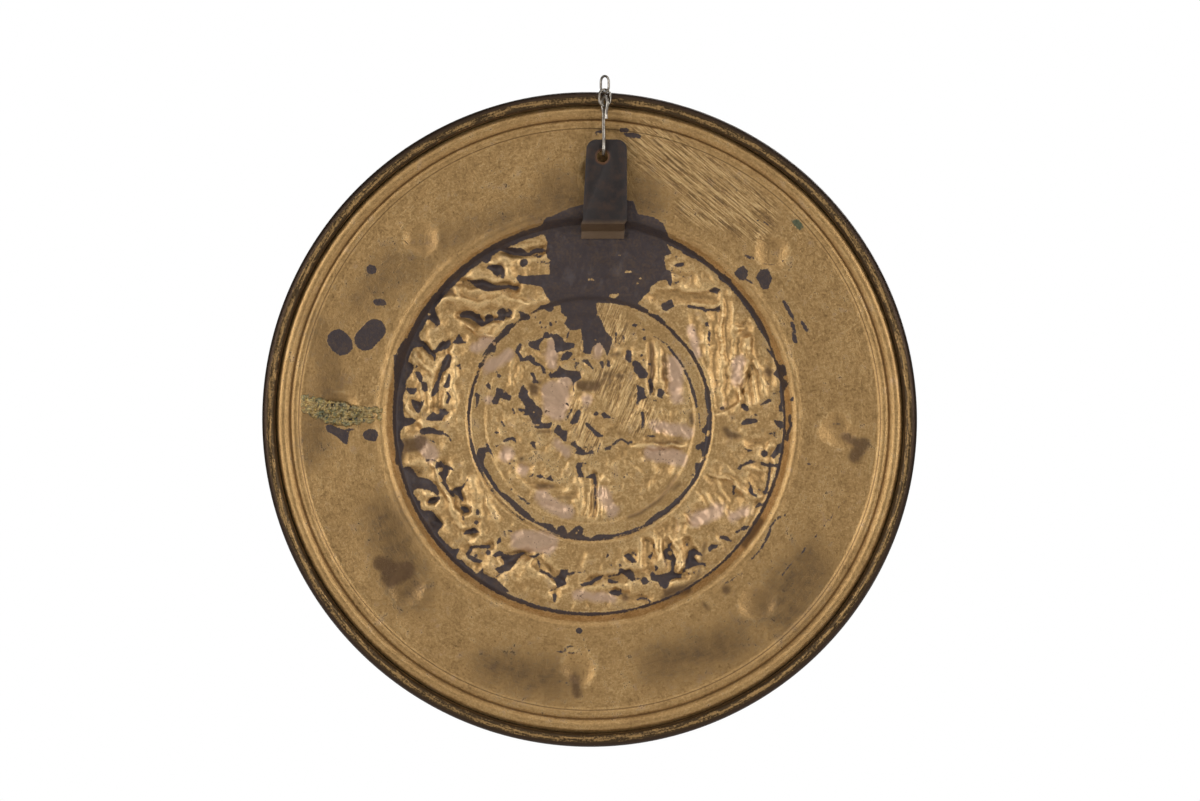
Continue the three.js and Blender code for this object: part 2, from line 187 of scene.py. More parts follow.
grid = {"reach": 204, "step": 0.5}
gridLine = np.arange(-grid["reach"], grid["reach"] + grid["step"] / 2, grid["step"])
gridX, gridZ = np.meshgrid(gridLine, gridLine)
gridRadius = np.hypot(gridX, gridZ)


def softened(field, size):
    waves = np.fft.fftfreq(len(gridLine), grid["step"])
    passed = np.exp(-2 * (math.pi * size * waves) ** 2)
    return np.fft.ifft2(np.fft.fft2(field) * passed[:, None] * passed[None, :]).real


# An unevenness whose lumps are about this far apart, with a spread of 1.
def lumps(size, seed):
    field = softened(np.random.default_rng(seed).standard_normal(gridX.shape), size / 4)
    return field / field.std()


def fade(value, start, end):
    return np.clip((value - start) / (end - start), 0, 1)


def sampled(field, x, z):
    u, v = [np.clip((w + grid["reach"]) / grid["step"], 0, len(gridLine) - 1.001) for w in (x, z)]
    i, j = u.astype(int), v.astype(int)
    u, v = u - i, v - j
    return (field[j, i] * (1 - u) + field[j, i + 1] * u) * (1 - v) + (
        field[j + 1, i] * (1 - u) + field[j + 1, i + 1] * u) * v


def windowAround(points, margin):
    ends = [f([p[k] for p in points]) + sign * margin for k in (1, 0) for f, sign in ((min, -1), (max, 1))]
    ends = np.searchsorted(gridLine, ends)
    return slice(ends[0], ends[1]), slice(ends[2], ends[3])


def distanceToLine(points, px, pz):
    if len(points) == 1:
        return np.hypot(px - points[0][0], pz - points[0][1])
    nearest = np.full(px.shape, 1e6)
    for (ax, az), (bx, bz) in zip(points, points[1:]):
        t = ((px - ax) * (bx - ax) + (pz - az) * (bz - az)) / max((bx - ax) ** 2 + (bz - az) ** 2, 1e-9)
        t = np.clip(t, 0, 1)
        nearest = np.minimum(nearest, np.hypot(px - ax - t * (bx - ax), pz - az - t * (bz - az)))
    return nearest


# Relief: a height above 0 stands out at the front and is a hollow at the back. Each form is its points,
# how far it reaches from them, and its height there.

def falloff(distance):
    return np.where(distance < 1, (1 - np.minimum(distance, 1) ** 2) ** 2, 0)


def dome(x, z, halfX, halfZ, height, turn=0):
    c, s = math.cos(math.radians(turn)), math.sin(math.radians(turn))

    def form(px, pz):
        u = ((px - x) * c + (pz - z) * s) / halfX
        v = ((pz - z) * c - (px - x) * s) / halfZ
        return height * falloff(np.hypot(u, v))
    return [(x, z)], max(halfX, halfZ), form


def ridge(points, halfWidth, height):
    return points, halfWidth, lambda px, pz: height * falloff(distanceToLine(points, px, pz) / halfWidth)


def formField(forms, shiftX, shiftZ):
    field = np.zeros(gridX.shape)
    for points, reach, form in forms:
        near = windowAround(points, reach + 3)
        field[near] += form(gridX[near] + shiftX[near], gridZ[near] + shiftZ[near])
    return field


def temple():
    forms = [ridge([(42, 75.5), (79, 75.5)], 6.5, 2.2), ridge([(41, 80.5), (79, 80)], 1.6, -0.6)]
    forms.append(ridge([(42, 70.5), (79, 70)], 1.6, -0.6))
    for i in range(2):
        forms.append(ridge([(77 + 8 * i, 66 + 6 * i), (77 + 8 * i, 6)], 4.6, 2))
        forms.append(ridge([(81.2 + 4.4 * i, 80), (81.2 + 4.4 * i, 34)], 1.3, -1.0))
        forms.append(ridge([(88 + 10 * i, 74 - 22 * i), (88 + 10 * i, 38 - 3 * i)], 1.5, -0.8))
    forms += [dome(58, 88, 14, 6, 1.6, -28), ridge([(64, 62), (71, 30)], 5, 1.4), dome(65, 87, 11, 8, 0.8)]
    forms += [ridge([(46, 88), (52, 96)], 2, -0.8), dome(76, 79, 3, 2.4, 1), dome(61, 86.3, 2.4, 2.4, -0.9)]
    forms += [dome(57.5, 82, 2, 2, -0.8), ridge([(70, 91), (73, 86), (75, 84)], 1.6, 0.8)]
    forms += [ridge([(50, 78.6), (66, 77.8)], 1.2, 0.5), ridge([(52, 71.4), (61, 71)], 1.2, 0.5)]
    return forms


def robedFigure():
    forms = [dome(96, 57, 6, 6, 2.6), dome(97, 30, 11, 30, 2.6, 8), dome(110, 26, 6, 22, 1.8, -16)]
    for i in range(4):
        forms.append(ridge([(95 + i, 50), (90 + 6 * i, 4 + 4 * i)], 2.6, -1.6))
    for i in range(5):
        forms.append(ridge([(88 + 3.4 * i, 44 - 2 * i), (85 + 5 * i, 14 + 3 * i)], 1.1, -0.7))
    forms += [
        ridge([(99, 44), (97, 37), (94.4, 28), (92, 19), (89.6, 9), (86, 5), (80, 3)], 1.9, -1.7),
        ridge([(94, 17), (98, 27), (100, 33)], 1.7, 1.2), ridge([(100.6, 22), (103.6, 30)], 1.6, -1.1),
        ridge([(92, 22), (93, 28), (91, 36)], 1.3, -0.8), ridge([(105, 16), (106, 21)], 1.4, -0.8),
        ridge([(86, 38), (86, 12)], 1.4, -0.8), ridge([(90, 59), (92.6, 58), (96, 60), (98, 62)], 1.3, 1.0),
        ridge([(91, 56), (95, 56.6)], 1.5, -1.2),
    ]
    return forms


def seatedFigure():
    forms = [
        dome(86, -50, 19, 15, 3.4, -40), dome(104, -36, 8, 13, 2.6, -12), dome(104, -14, 13, 6, 2.2),
        dome(76, -34, 9, 7, 2), dome(66, -58, 13, 8, 2.4, 30),
        ridge([(71, -30), (84, -36), (97, -47)], 3, -1.4),
        ridge([(112, -20), (110, -40), (98, -66)], 3.5, 1.6),
        dome(104, -15.6, 3.4, 2.8, -1.8), dome(111, -15.4, 3.2, 2.6, -1.8), dome(107, -21, 2.6, 2.6, 1.2),
        ridge([(72, -33), (85, -36), (95, -44)], 1.5, -1.2),
        ridge([(78, -36), (84, -50), (82, -56)], 1.6, -1.1),
        ridge([(86, -56), (92, -59)], 1.7, -1.1), ridge([(98, -56), (100, -60)], 1.4, -0.8),
        ridge([(68, -26), (80, -27), (91, -34), (97, -39)], 1.4, -0.7),
        ridge([(98, -36), (103, -47)], 1.4, -0.7),
        ridge([(98, -30), (109, -32), (107, -43)], 1.4, -0.8), ridge([(114, -18), (112, -45)], 1.5, -0.8),
    ]
    for i in range(5):
        forms.append(ridge([(66 + 4 * i, -44 - i), (72 + 4 * i, -50 - 3 * i)], 1.2, -0.6 if i % 2 else 0.7))
    return forms


def walkers():
    forms = [dome(48, -66, 14, 9, 2.6)]
    for i in range(3):
        forms.append(ridge([(36 + 12 * i, -76 + i), (36 + 14 * i, -92 + 2 * i)], 5, 2.6))
    forms += [
        ridge([(2, -99), (25, -96), (58, -95)], 4.5, 2.2), dome(26, -84, 6, 5, 1.8),
        ridge([(16, -107), (36, -111)], 4, 1.6), ridge([(41, -75), (42, -88)], 1.6, -1.6),
        ridge([(52, -76), (56, -82), (58, -88), (55, -93)], 1.6, -1.6),
        ridge([(44.4, -75), (44, -86)], 1.2, -0.8),
        ridge([(23, -101), (26, -106)], 1.5, -1.0), ridge([(-14, -103), (19, -104)], 1.8, -0.7),
        ridge([(58, -62), (62, -66), (67, -66.5)], 1.5, -1.0), ridge([(62, -59), (70, -62)], 1.2, -0.6),
    ]
    for i in range(6):
        forms.append(ridge([(34 + 5 * i, -64 + i), (37 + 4.5 * i, -74)], 1.2, -0.8 if i % 2 else -0.5))
    return forms


def hills():
    forms = [
        dome(-38, -95, 15, 11, -2), ridge([(-52, -88), (-46, -84), (-38, -82)], 5, 2.4),
        ridge([(-33, -88), (-17, -99)], 4, 2), dome(-20, -106, 5, 6, 1.6), dome(-67, -83, 5, 5, 1.4),
        ridge([(-51, -83), (-25, -81), (-16, -78)], 1.6, 0.9), ridge([(-31, -86), (-20, -99)], 1.4, 0.9),
        dome(-38, -89, 5, 4, -0.8), dome(-52, -85, 3.2, 3, -1.2),
    ]
    leaves = 7
    for i in range(leaves):
        a = math.radians(i / leaves * 360)
        forms.append(dome(-67 + 9 * math.cos(a), -83 + 8 * math.sin(a), 4.5, 4.5, 2.6 if i % 2 else -1.2))
    return forms


def leaningFigure():
    return [
        dome(-106, -36, 9, 9, 3), dome(-97, -51, 5, 4, 2.4), dome(-95, -63, 7, 8, 3, 20),
        dome(-89, -29, 4.5, 8, 2.6),
        ridge([(-96, -27), (-88, -45), (-80, -66)], 4, -2), ridge([(-82, -44), (-77, -56)], 4.5, 2.6),
        ridge([(-71, -36), (-69, -58)], 4.5, -1.8), ridge([(-62, -46), (-58, -60)], 3.5, -1.6),
        dome(-73, -70, 6, 3.5, 2.2), dome(-107, -27, 8, 6, -1.6), dome(-99, -46, 5, 3, -1.4, 20),
        ridge([(-96, -30), (-91, -41), (-84.5, -51), (-79.5, -58)], 1.8, -1.1),
        dome(-98, -28.5, 2, 2, -1.2),
        ridge([(-97, -42), (-92, -47), (-94, -53)], 1.5, -0.9), ridge([(-74, -34), (-72, -56)], 1.4, -0.7),
        ridge([(-63.4, -48), (-61.5, -56.5), (-60.4, -59)], 1.4, -1.1),
        ridge([(-59.3, -51), (-56, -58.7)], 1.6, 0.9),
        ridge([(-66, -40), (-67, -60)], 1.3, -0.7),
    ]


def tree():
    forms = [
        ridge([(-88, 40), (-91, 26), (-94, 8)], 4.5, 2.6),
        ridge([(-102, 46), (-95, 38), (-86, 47)], 4, 2.6),
        dome(-80, 50, 6, 5, 2.4), dome(-107, 10, 5, 6, 2.4), dome(-92, 4, 7, 5, 2.4),
        dome(-108, -6, 7, 5, 2.4),
        ridge([(-108, 40), (-104, 37), (-100, 33), (-96, 28)], 2.0, -1.8), dome(-88.6, 27, 2.4, 2.4, -1.4),
        ridge([(-103, 22), (-102, 9), (-108, 1), (-113, 8)], 1.8, -1.4),
        ridge([(-97, 16), (-99, 4)], 1.6, -1.0),
        ridge([(-82, 36), (-84, 20), (-82, 6)], 2.2, -0.9),
    ]
    for i in range(4):
        forms.append(dome(-105 + 4 * (i % 2), 36 - 13 * i, 5.5, 6, -1.8))
    return forms


def clouds():
    scroll = [(-92 + 8 * i, 72 + 2.2 * math.cos(math.radians((i - 1) * 90))) for i in range(9)]
    return [
        ridge(scroll, 5, -2.2), ridge([(x, z + 1.4) for x, z in scroll], 1.5, -0.9),
        ridge([(-82, 85), (-64, 82), (-45, 81)], 4.5, 3), ridge([(-79, 65), (-67, 60), (-58, 61)], 4.5, 3),
        dome(-50, 65, 6, 5, 2.6), dome(-40, 64, 5, 4, 2.2),
        ridge([(-76, 60), (-69, 53), (-60, 52), (-53, 57)], 3.5, -1.8),
        ridge([(-75, 58.7), (-72.5, 56.3), (-70.6, 54), (-68, 52.5), (-63, 51.8), (-59, 52),
               (-57, 53)], 1.5, -1.6),
        ridge([(-60, 58), (-54, 60)], 1.5, -0.9), ridge([(-55, 105), (-42, 102), (-28, 105)], 4.5, 2.8),
        dome(-57, 92, 6, 6, 2.8), ridge([(-62, 98), (-50, 99), (-47, 84)], 4.5, -1.6),
        dome(-96, 61, 4, 8, 2.2),
        dome(-20, 88, 12, 9, 2), dome(10, 92, 14, 8, 2.2), dome(-41, 96, 2.6, 2.4, 1.4),
        dome(-71, 90, 7, 5, -1.2, 30), ridge([(-83, 84), (-79, 74)], 2, -1.3),
        dome(-95, 52, 8, 6, -1.2, 40),
        dome(-107, 38, 5, 6, -1.2), ridge([(-47, 73.6), (-39, 71.6)], 1.4, -0.8),
    ]


def medallionScene():
    forms = [
        dome(-53, -22, 8, 7, 2.4), dome(-40, -29, 7, 6, 2), dome(-27, -42, 20, 7, 2.2, -20),
        dome(-20, 10, 17, 22, 2.4, 20), dome(-26, 43, 9, 8, 1.8), ridge([(2, -34), (2, -60)], 3.5, 2),
        ridge([(-7, -36), (-5, -58)], 2.8, -1), ridge([(28, -16), (57, -16)], 3.2, -1.8),
        dome(46, -30, 10, 12, 1.8),
        dome(52, 18, 6, 9, 2.2), dome(18, -30, 15, 12, -1.2),
        ridge([(-54, -38), (-40, -50), (-17, -55)], 2.6, 1.1),
        ridge([(-46, -36), (-30, -46), (-14, -44)], 2, -0.9), ridge([(-1, -44), (-1, -60)], 1.2, -0.7),
        ridge([(42, -15.8), (57.6, -16.2)], 1.3, -1.3), ridge([(36, -19), (58, -20)], 1.4, 0.6),
        ridge([(53.3, -34.8), (50, -40), (42, -50), (30.5, -58), (24, -60)], 1.8, 0.9),
        ridge([(56.5, -38), (51, -46), (44, -53)], 1.6, -0.7),
        ridge([(6.5, -38), (9.2, -35.9), (12.5, -38)], 1.6, -1.0),
        ridge([(8.8, -42), (8.8, -60)], 1.4, -0.8), ridge([(-9.5, -50), (-7, -57)], 1.6, -0.9),
        ridge([(32.4, 13), (28, 4), (25, -2)], 1.5, -1.2), dome(32.4, 0, 1.8, 5.5, 1.2),
        ridge([(43, 6), (44.6, 0)], 1.4, -0.9),
        ridge([(37, -2), (42, -6.5), (46, -9)], 1.4, 0.6),
        ridge([(59, 22), (63, 8), (63.5, -6)], 1.7, -0.7),
        ridge([(-47, 36), (-48, 22)], 1.8, -0.6), ridge([(-43, 32), (-44, 22)], 1.8, -0.6),
        dome(-2, 12.6, 6, 5, -0.9),
    ]
    for i in range(3):
        forms.append(ridge([(37 + 4.4 * i, 48 - i), (39 + 4.4 * i, 16)], 2.4, -1.4 if i % 2 else 2))
    for i in range(5):
        forms.append(ridge([(35 + 3 * i, 50 - 2 * i), (38 + 3 * i, 14)], 1.1, -0.8 if i % 2 else 0.5))
    for i in range(6):
        forms.append(ridge([(46 + 2.2 * i, -20 - i), (36 + 3.4 * i, -44 + i)], 1.1, -0.6))
        fold = [(34 + 5 * i, 10 - 2 * i), (37 + 4 * i, -2), (34 + 5 * i, -12)]
        forms.append(ridge(fold, 1.2, -0.6 if i % 2 else 0.5))
    return forms


# Round hollows in the border, one every 45 degrees, with a firm edge and a lip raised round it.
boss = {"radius": 152, "turn": 2.3, "halfWidth": 11.5, "depth": 2.0, "lip": 0.35}


def bosses():
    def hollow(x, z):
        def form(px, pz):
            r = np.hypot(px - x, pz - z) / boss["halfWidth"]
            bowl = np.clip(1 - r ** 3, 0, 1) ** 1.3
            return boss["depth"] * bowl - boss["lip"] * np.exp(-((r - 1.03) / 0.07) ** 2)
        return [(x, z)], boss["halfWidth"] * 1.2, form
    turns = [math.radians(boss["turn"] + 45 * i) for i in range(8)]
    return [hollow(boss["radius"] * math.sin(a), boss["radius"] * math.cos(a)) for a in turns]


# Residue, as marks read from the photo. A mark is a patch inside its corners, or, after a half width, a
# line or a spot. Its value at a point is how far inside its edge the point lies.

def marksIn(text):
    marks = []
    for words in [mark.split() for mark in text.split(";")]:
        half = 0 if "," in words[0] else float(words.pop(0))
        marks.append((half, [tuple(float(v) for v in word.split(",")) for word in words]))
    return marks


def depthField(marks):
    deepest = 6
    field = np.full(gridX.shape, -6.0)

    def depthIn(half, points):
        near = windowAround(points, half + deepest + 1)
        px, pz = gridX[near], gridZ[near]
        if half:
            return near, half - distanceToLine(points, px, pz)
        inside = np.zeros(px.shape, bool)
        for (ax, az), (bx, bz) in zip(points, points[1:] + points[:1]):
            slope = (bx - ax) / (bz - az if bz != az else 1e-9)
            inside ^= ((az > pz) != (bz > pz)) & (px < ax + (pz - az) * slope)
        return near, np.where(inside, 1, -1) * distanceToLine(points + points[:1], px, pz)

    for mark in marks:
        near, depth = depthIn(*mark)
        field[near] = np.maximum(field[near], depth)
    return np.clip(field, -deepest, deepest)


cloudMarks = """-76,86 -72,85.5 -66,86 -62,84.5 -57,82.5 -50,82.6 -44,81.8 -42,80.5 -46,79.2 -50,80.2
-56,79.3 -61,78.3 -65,78.6 -69,81 -72,82.6 -75,84.6; -101,66 -99,71 -95.5,74 -95,71 -94.8,67 -93.5,64
-91.8,60.5 -92,58 -94.2,56.8 -96.5,59.5 -99,61.5 -102,62; -80,64 -78.5,66 -75,67 -71,66.8 -70,65 -67,64.5
-66.3,62 -65,59.8 -64,60.3 -64.6,63 -62.5,64.6 -60,64.5 -58.8,62.8 -59.5,60.5 -63,58.2 -65.5,56.8 -68,57.8
-70.5,60 -73,61.8 -76,62.4 -79.5,62.3; -57.4,65.6 -56,67.6 -53.6,68.6 -50.8,67.4 -49.4,68.4 -48,67
-47,65.4 -48.6,64 -47.4,62.6 -50,62.2 -51.6,63.2 -52,60 -53.6,60.4 -56,61 -59,60.6 -62,59.6 -59.6,61.4
-56.6,62.4 -55.4,63.8; -43.6,66.4 -41,66 -38,64.8 -36,62.8 -36.8,61 -42,61.2 -44.4,59.4 -44,60.8 -42.8,62
-43,64.6; -68.5,100 -66,103 -62,103 -60,100.5 -60.5,97 -63,95.5 -65.5,96.5 -67.5,98.5; -62,95 -58,95.2
-54,95 -52.2,91.8 -51.8,88 -52.8,86.3 -56,87.2 -58.5,89 -60.5,91.5 -64,93; -55,105 -50,105.3 -42,105.3
-37.5,102.6 -35,104.4 -32,105.3 -28,104.7 -27.2,103 -30,101.9 -34,101.9 -36,100.3 -45,100.3 -49.5,101.2
-53.5,102.8; 2.5 -40.3,96.1; -31.6,69.7 -29,70.4 -23,69.8 -22.2,67.8 -23,66.2 -25,65.8 -28.5,68 -31,68.6;
0.6 -33,97.5 -31,96 -29,97 -26,95.5 -23,96.5; 0.8 -34,100.5 -31,100 -29.5,100.5"""
treeMarks = """-84,47.5 -81.5,50.5 -80.5,52.5 -79.5,52 -78.5,50.5 -77.5,48.5 -74.5,47.3 -76,46.5 -80,46.5
-81.5,45.3 -82,46.5 -84.3,46.5; -108,50 -104.4,52 -104.3,49 -102.4,48.6 -98.8,44.6 -97,42.6 -94.6,43.4
-92.4,46.8 -90.4,48.6 -88.4,47.4 -86,49 -85.2,46.2 -87,43.6 -91,42 -94.6,40.6 -95,34 -96.4,39.2 -98.4,39.4
-103,44.4 -107,44 -110,43.6 -113,41 -116,38 -118,42 -113,50; -119.5,40 -114,40 -112.8,36 -107.6,33.4
-108.4,30 -112.6,24 -113.4,17 -114.8,14 -114.4,8 -114.2,3 -113,-1 -120,-1; 0.9 -106.3,32.5; -107.6,29.4
-105.4,29.6 -103.2,28 -102.2,25.6 -102.6,23 -104.4,22.6 -105.6,25 -107,27.4; -113,18 -112,19.4 -106.3,19.4
-106.6,17 -108.4,15 -110.6,15.4; -103.4,23.4 -99.8,22.8 -99.4,17.4 -101.4,16.8 -103,18; -109.6,12.4
-104,10.8 -101.6,12.4 -101.8,9.4 -103.4,6.2 -105,2.4 -106.6,4 -109.6,9; -88.4,39.4 -86.6,40.2 -84.6,38.8
-85,35.8 -85.6,32.4 -88.4,29.8 -90,29.4 -91,27 -92.6,21.4 -92.8,17.4 -96.8,12.6 -98,14.4 -97,18 -94,24
-92.8,28 -90.6,35.6; -86.6,29.4 -85.4,26.6 -86,20 -88,18.8 -90,20 -88.2,23.8; -101.6,-1 -98.6,2.8 -96.6,5
-94,3 -92,3.8 -90.4,7 -88.6,7.4 -87.4,5 -85.6,4.6 -87,3 -89.4,2 -90.6,-1; 0.9 -87.6,16.5 -85.9,14
-87.6,10.5; 0.7 -91.5,6.5 -92.5,5; 0.5 -84.5,42 -83,41; 0.5 -82.5,32.8 -79.5,33.4; 0.8 -79.4,31.4"""
leaningMarks = """-120,1 -109,1 -106.4,-0.6 -108.6,-3 -114.4,-4.6 -116.6,-8 -116,-12 -114,-16 -115.5,-22
-117,-28 -119,-28; -105,-7 -102.6,-5.2 -99.4,-4.6 -95.6,-5.4 -93.6,-6.8 -90,-6.8 -89.2,-8.6 -91,-9.8
-98,-9 -103.6,-9.6; 0.6 -89,-9 -86.5,-10.5 -85.3,-13; 0.4 -98,-13 -95,-14; -116.6,-30 -113,-29 -110,-29.4
-108.4,-31 -105.8,-35.6 -100,-36.6 -97.4,-37.6 -93.8,-41.4 -92.4,-46.4 -93.6,-47.2 -98,-44.2 -102,-43.4
-105.6,-42.6 -108,-43.6 -108.4,-45.6 -105.2,-50.6 -102.8,-57 -107,-57 -113,-42 -116,-35; -99.8,-50
-98.4,-48.8 -96,-47.8 -92,-47.8 -91.6,-49 -95,-51.8 -97.4,-52.6 -101,-51.4; -93,-26.6 -91.4,-25.4
-90,-27.6 -85.6,-29.2 -82.6,-31.6 -86.6,-31 -86.8,-33.4 -88,-35.6 -88.4,-39 -90,-38.6 -92.6,-34 -95,-28.8
-94.4,-26.6 -98,-25 -101.4,-27.6 -100,-24.4 -94.6,-24.6; 1 -90,-38.6 -86.6,-43.4 -84,-46.6; -75,-36.2
-74.6,-37.4 -78.6,-44 -77.4,-49.6 -77.8,-52 -80.6,-48.4 -85,-44.6 -83.6,-42.8 -79.4,-41 -77.2,-39.4;
-109,-49 -104,-50 -103.8,-54.6 -102.2,-56.2 -97.4,-56 -92,-62.6 -89.6,-64.6 -92.8,-68.2 -93.8,-70 -92,-72
-88.4,-76 -84,-80 -79.4,-79.2 -81.8,-84.4 -81,-86.6 -78.2,-86.2 -76.6,-88.8 -69.4,-94.8 -65.2,-91.4
-65.6,-94.4 -57,-98.6 -48,-106.6 -54,-106 -66,-99 -76,-91.6 -84,-84 -92,-75.4 -99,-66 -104,-57.6;
-80,-54.6 -78,-53.4 -75,-54.6 -73,-57.2 -77,-58; 0.5 -78,-58 -77.4,-62; 1.1 -69,-56 -68.8,-58; 1.6
-69.6,-63.4; -77.8,-71 -76.6,-68.6 -70.6,-66.4 -67.8,-69.6 -72,-70.6 -76.6,-71.4; -71.4,-77.2 -61,-77.4
-61.4,-79.8 -71.6,-79.2 -73.4,-83 -70,-85.4 -65.4,-87 -66.8,-88.8 -71.6,-87.8 -75.4,-85.4 -76.2,-83
-73.6,-78.4; 1.7 -62.4,-82; 1.2 -69.8,-83.8"""
hillMarks = """-59.6,-83.6 -56.4,-80.6 -54,-81.2 -52.6,-82.6 -48,-83.8 -42,-81.8 -38.4,-82.2 -41.4,-83.4
-46.4,-89.6 -49.4,-93 -53.6,-94.6 -57.6,-97.6 -62,-100 -62,-97.6 -58,-97 -55.6,-94.6 -58.6,-91.8 -53,-89.4
-52.8,-87.4 -54.4,-85.6 -54.6,-84 -58,-84.8; -57,-76.2 -56.6,-74 -55.4,-72.2 -54.4,-72.6 -54.4,-75.4
-56.6,-77.2; 0.7 -52.4,-69 -51.4,-71.6; 0.6 -49.4,-68.4 -48,-68.8; -37.6,-83.8 -33.6,-83.4 -31.6,-82.2
-25.2,-82 -30.6,-83.2 -33.6,-85.6 -37,-84.8; 0.5 -32.5,-85.6 -31,-89 -30.6,-92; 0.9 -30,-93 -26,-95.2
-22,-98 -20.5,-99.4; -20.2,-96.4 -18.6,-95 -17.6,-92.2 -12.4,-92.4 -13.8,-93.6 -13,-95 -10,-96.4 -14,-96.4
-14.8,-99 -13.2,-101.4 -18.6,-103.4 -20,-103.2 -21.4,-98.6; 0.7 -12.4,-95 -8.6,-94; 0.5 -24.6,-105.6
-20.4,-104.2; -22.8,-107.4 -21,-106.6 -20,-108 -20.8,-113 -22.2,-113; 10.4,-85 10.6,-83.4 11.6,-82
12,-83.6; 11,-87.8 14,-88.4 13.8,-90.4 12.4,-89.6; 21,-83.4 24.4,-81.8 28,-86 29.8,-88 26.4,-88.2
22.6,-85.6; 0.7 26.6,-82 28.6,-83.4; 36.6,-83.6 38.6,-81 39.2,-82.6 37.6,-86.4 35.8,-84.4; 39.6,-90
40.6,-89 43,-91.6 40.4,-93.6; 17.6,-91.6 19.4,-91 23,-92.4 24.8,-91.2 27,-94 28.4,-98.6 26.4,-100 21.8,-96
17.6,-93; 1 19,-89.5; 0.8 12,-96.4 17,-95.4 19,-94.4; -5.8,-101.6 -3.4,-100.4 0,-100 4.8,-96.4 9,-95.4
6.8,-99.2 3.6,-99.8 2,-101.6 -4,-102.8; 0.5 -7,-94 -2.6,-93.4; 11.4,-97.6 15.6,-99 19.6,-99 16.8,-101
11.4,-100.4; 0.8 8.6,-102; 11,-105.4 16,-104.4 17.6,-106 20.6,-102.4 19.4,-106.4 22.4,-107.4 18.6,-108.4
13.6,-108.2; 30.8,-98 34.4,-96.4 37,-99.6 35,-101.4 32.6,-101.6; 37.2,-95 38.6,-93.6 41.6,-96 47,-94
47,-104.6 43.6,-102.4 42,-99.8 37.6,-99; 0.8 29,-111 32,-109.8 35,-110 37.4,-112; 0.6 32,-107.4; 0.6
39.5,-76.6 39.8,-79; 0.5 28.5,-98 31,-97.8"""
walkerMarks = """48,-77 50.6,-74.8 50.8,-76 49.8,-78.4 53.6,-85.4 52,-91 52.2,-94 57,-95 56.4,-97.4
50,-98.4 48.4,-103 46,-104.4 43.4,-100.8 40,-98 40,-95.6 45,-95 50.2,-93.4 50.2,-87 46,-85.4 45,-81
46.2,-79 48,-79.4; 57,-95 57.6,-91.6 58.8,-90.4 59.2,-86 60.6,-82 60.6,-80.2 64.6,-79 69.8,-82.6
69.6,-84.2 65.4,-83 64,-84.4 66.8,-88 71.6,-87.6 72,-91.4 69.6,-89.2 66,-89.8 62,-91.4 59,-91.8 59,-93;
0.9 61,-94.8; 0.8 64.4,-93.6; 0.6 67.4,-93; 0.9 59.9,-77; 72.4,-79 74.6,-76.4 79,-76.8 80.4,-75.4 82,-75.6
78.6,-78.4 74.6,-80.4 73.8,-81.8; 79.6,-73 80.2,-71.4 85,-71.4 86,-73.4 89.8,-75.4 85.6,-74.8 81,-73.6;
88.2,-70 94,-65.2 97,-65 101,-62.4 97,-67 90.6,-69.6; 0.7 90.5,-95.8 94,-93.5"""
seatedMarks = """93,-15.8 96.6,-17.6 102,-19.2 97,-19.8; 2.3 107.2,-20.6; 119,-13 114.6,-15.6 113.6,-18.4
110.6,-22.4 113,-24 117.6,-19.6; 90.6,-30.4 91.4,-28.2 98.6,-24.6 103.8,-26 98.6,-27.2 93.4,-28.8 93,-31;
1 105.8,-26.6 109,-28 115.6,-28; 0.9 110.6,-27 110.4,-34 108.6,-43 107.4,-45.5; 1.3 107.6,-44.6; 97,-36.6
99.6,-40.4 100.6,-44.8 103,-46 103.2,-48 99.4,-46.4 97,-42.4 98.4,-41.4; 0.8 104.2,-43; 86.8,-39.6
90.6,-40.6 88.6,-43.8 89.4,-45 88,-46.6 87.4,-44.8 88,-43; 101,-54.2 104,-50.4 107.4,-51.6 102.6,-54.4; 1
122.8,-36.2; 0.8 120,-57.6 115.6,-59.6 113.6,-61.4 111,-65"""
robedMarks = """80,7.4 82,8.2 83,6.6 80,5.6; 93,9.4 94.6,10.6 97.4,8.4 97.8,6 96.2,4.8 93.2,7.2; 92.6,-3.6
94,-0.8 96,1.2 100.6,1 103.8,0 103,-1.8 98,-3; 0.5 99,2 100.5,3.4 102.6,3; 103.6,10 105.6,10 108.4,12.4
111.4,13 111.2,11 105,8.4; 0.6 113,16 115.6,17; 108.6,46 110,43.4 113,41 116,34 119.6,34 121.4,27.6
118.6,26.6 122.2,22.6 119.4,18 119.4,12.4 118,4.6 116,5 115.6,8 117,10.4 116.4,18 116.6,24 112.6,28
115,31.6 113.6,36 108.4,42.6; 121.8,12 125,15.6 125,11.6; 112.4,0.4 119,-1 119,-4.6 117,-6 113.6,-2.4; 0.6
110.6,-8.6 112,-8 113.6,-10 115,-11.6; 0.5 113.4,-7.4 115.6,-10; 1 123,3 122.6,0 123.6,-3 121.6,-8 121,-12"""
templeMarks = """72.6,79.4 77.4,81.4 80.6,79.8 78.4,77 74.2,78; 65,68.8 70.4,68.4 71.4,66.8 65,67.8; 0.7
72,67.4 76,67.4 79.6,66.4; 76.6,68.4 80.6,71 80.2,65.8; 70.6,57.4 71.4,60 72.8,60 74.2,54 74,45 73.4,43.6
72.4,50 72.8,56.2; 51.2,94.6 53,95.8 58.6,96.6 58,94.6 54,93.2; 0.6 50.4,93.2 51.6,89.6 53,87; 51.4,84.4
55.4,85 53,83; 0.6 57.2,82; 0.7 57.4,87.8; 0.5 55.6,90.4; 0.9 53.3,99.6; 43.6,69.6 44.9,71.6 47.3,72.4
48.6,73.7 50.5,73.5 52.2,69.4 49.5,67.8 46.5,66.7 44.9,67.5; 0.9 61,69.5 64,69 67,68.4 70,68.4 71,66.5;
62.6,54.9 64.4,55.6 65.2,53.2; 0.8 50,109 57,105.5; 1.6 59,102.6 63,100.4; 0.9 64,100 70,96 77,91; 2.2
81,87.6 85,85"""
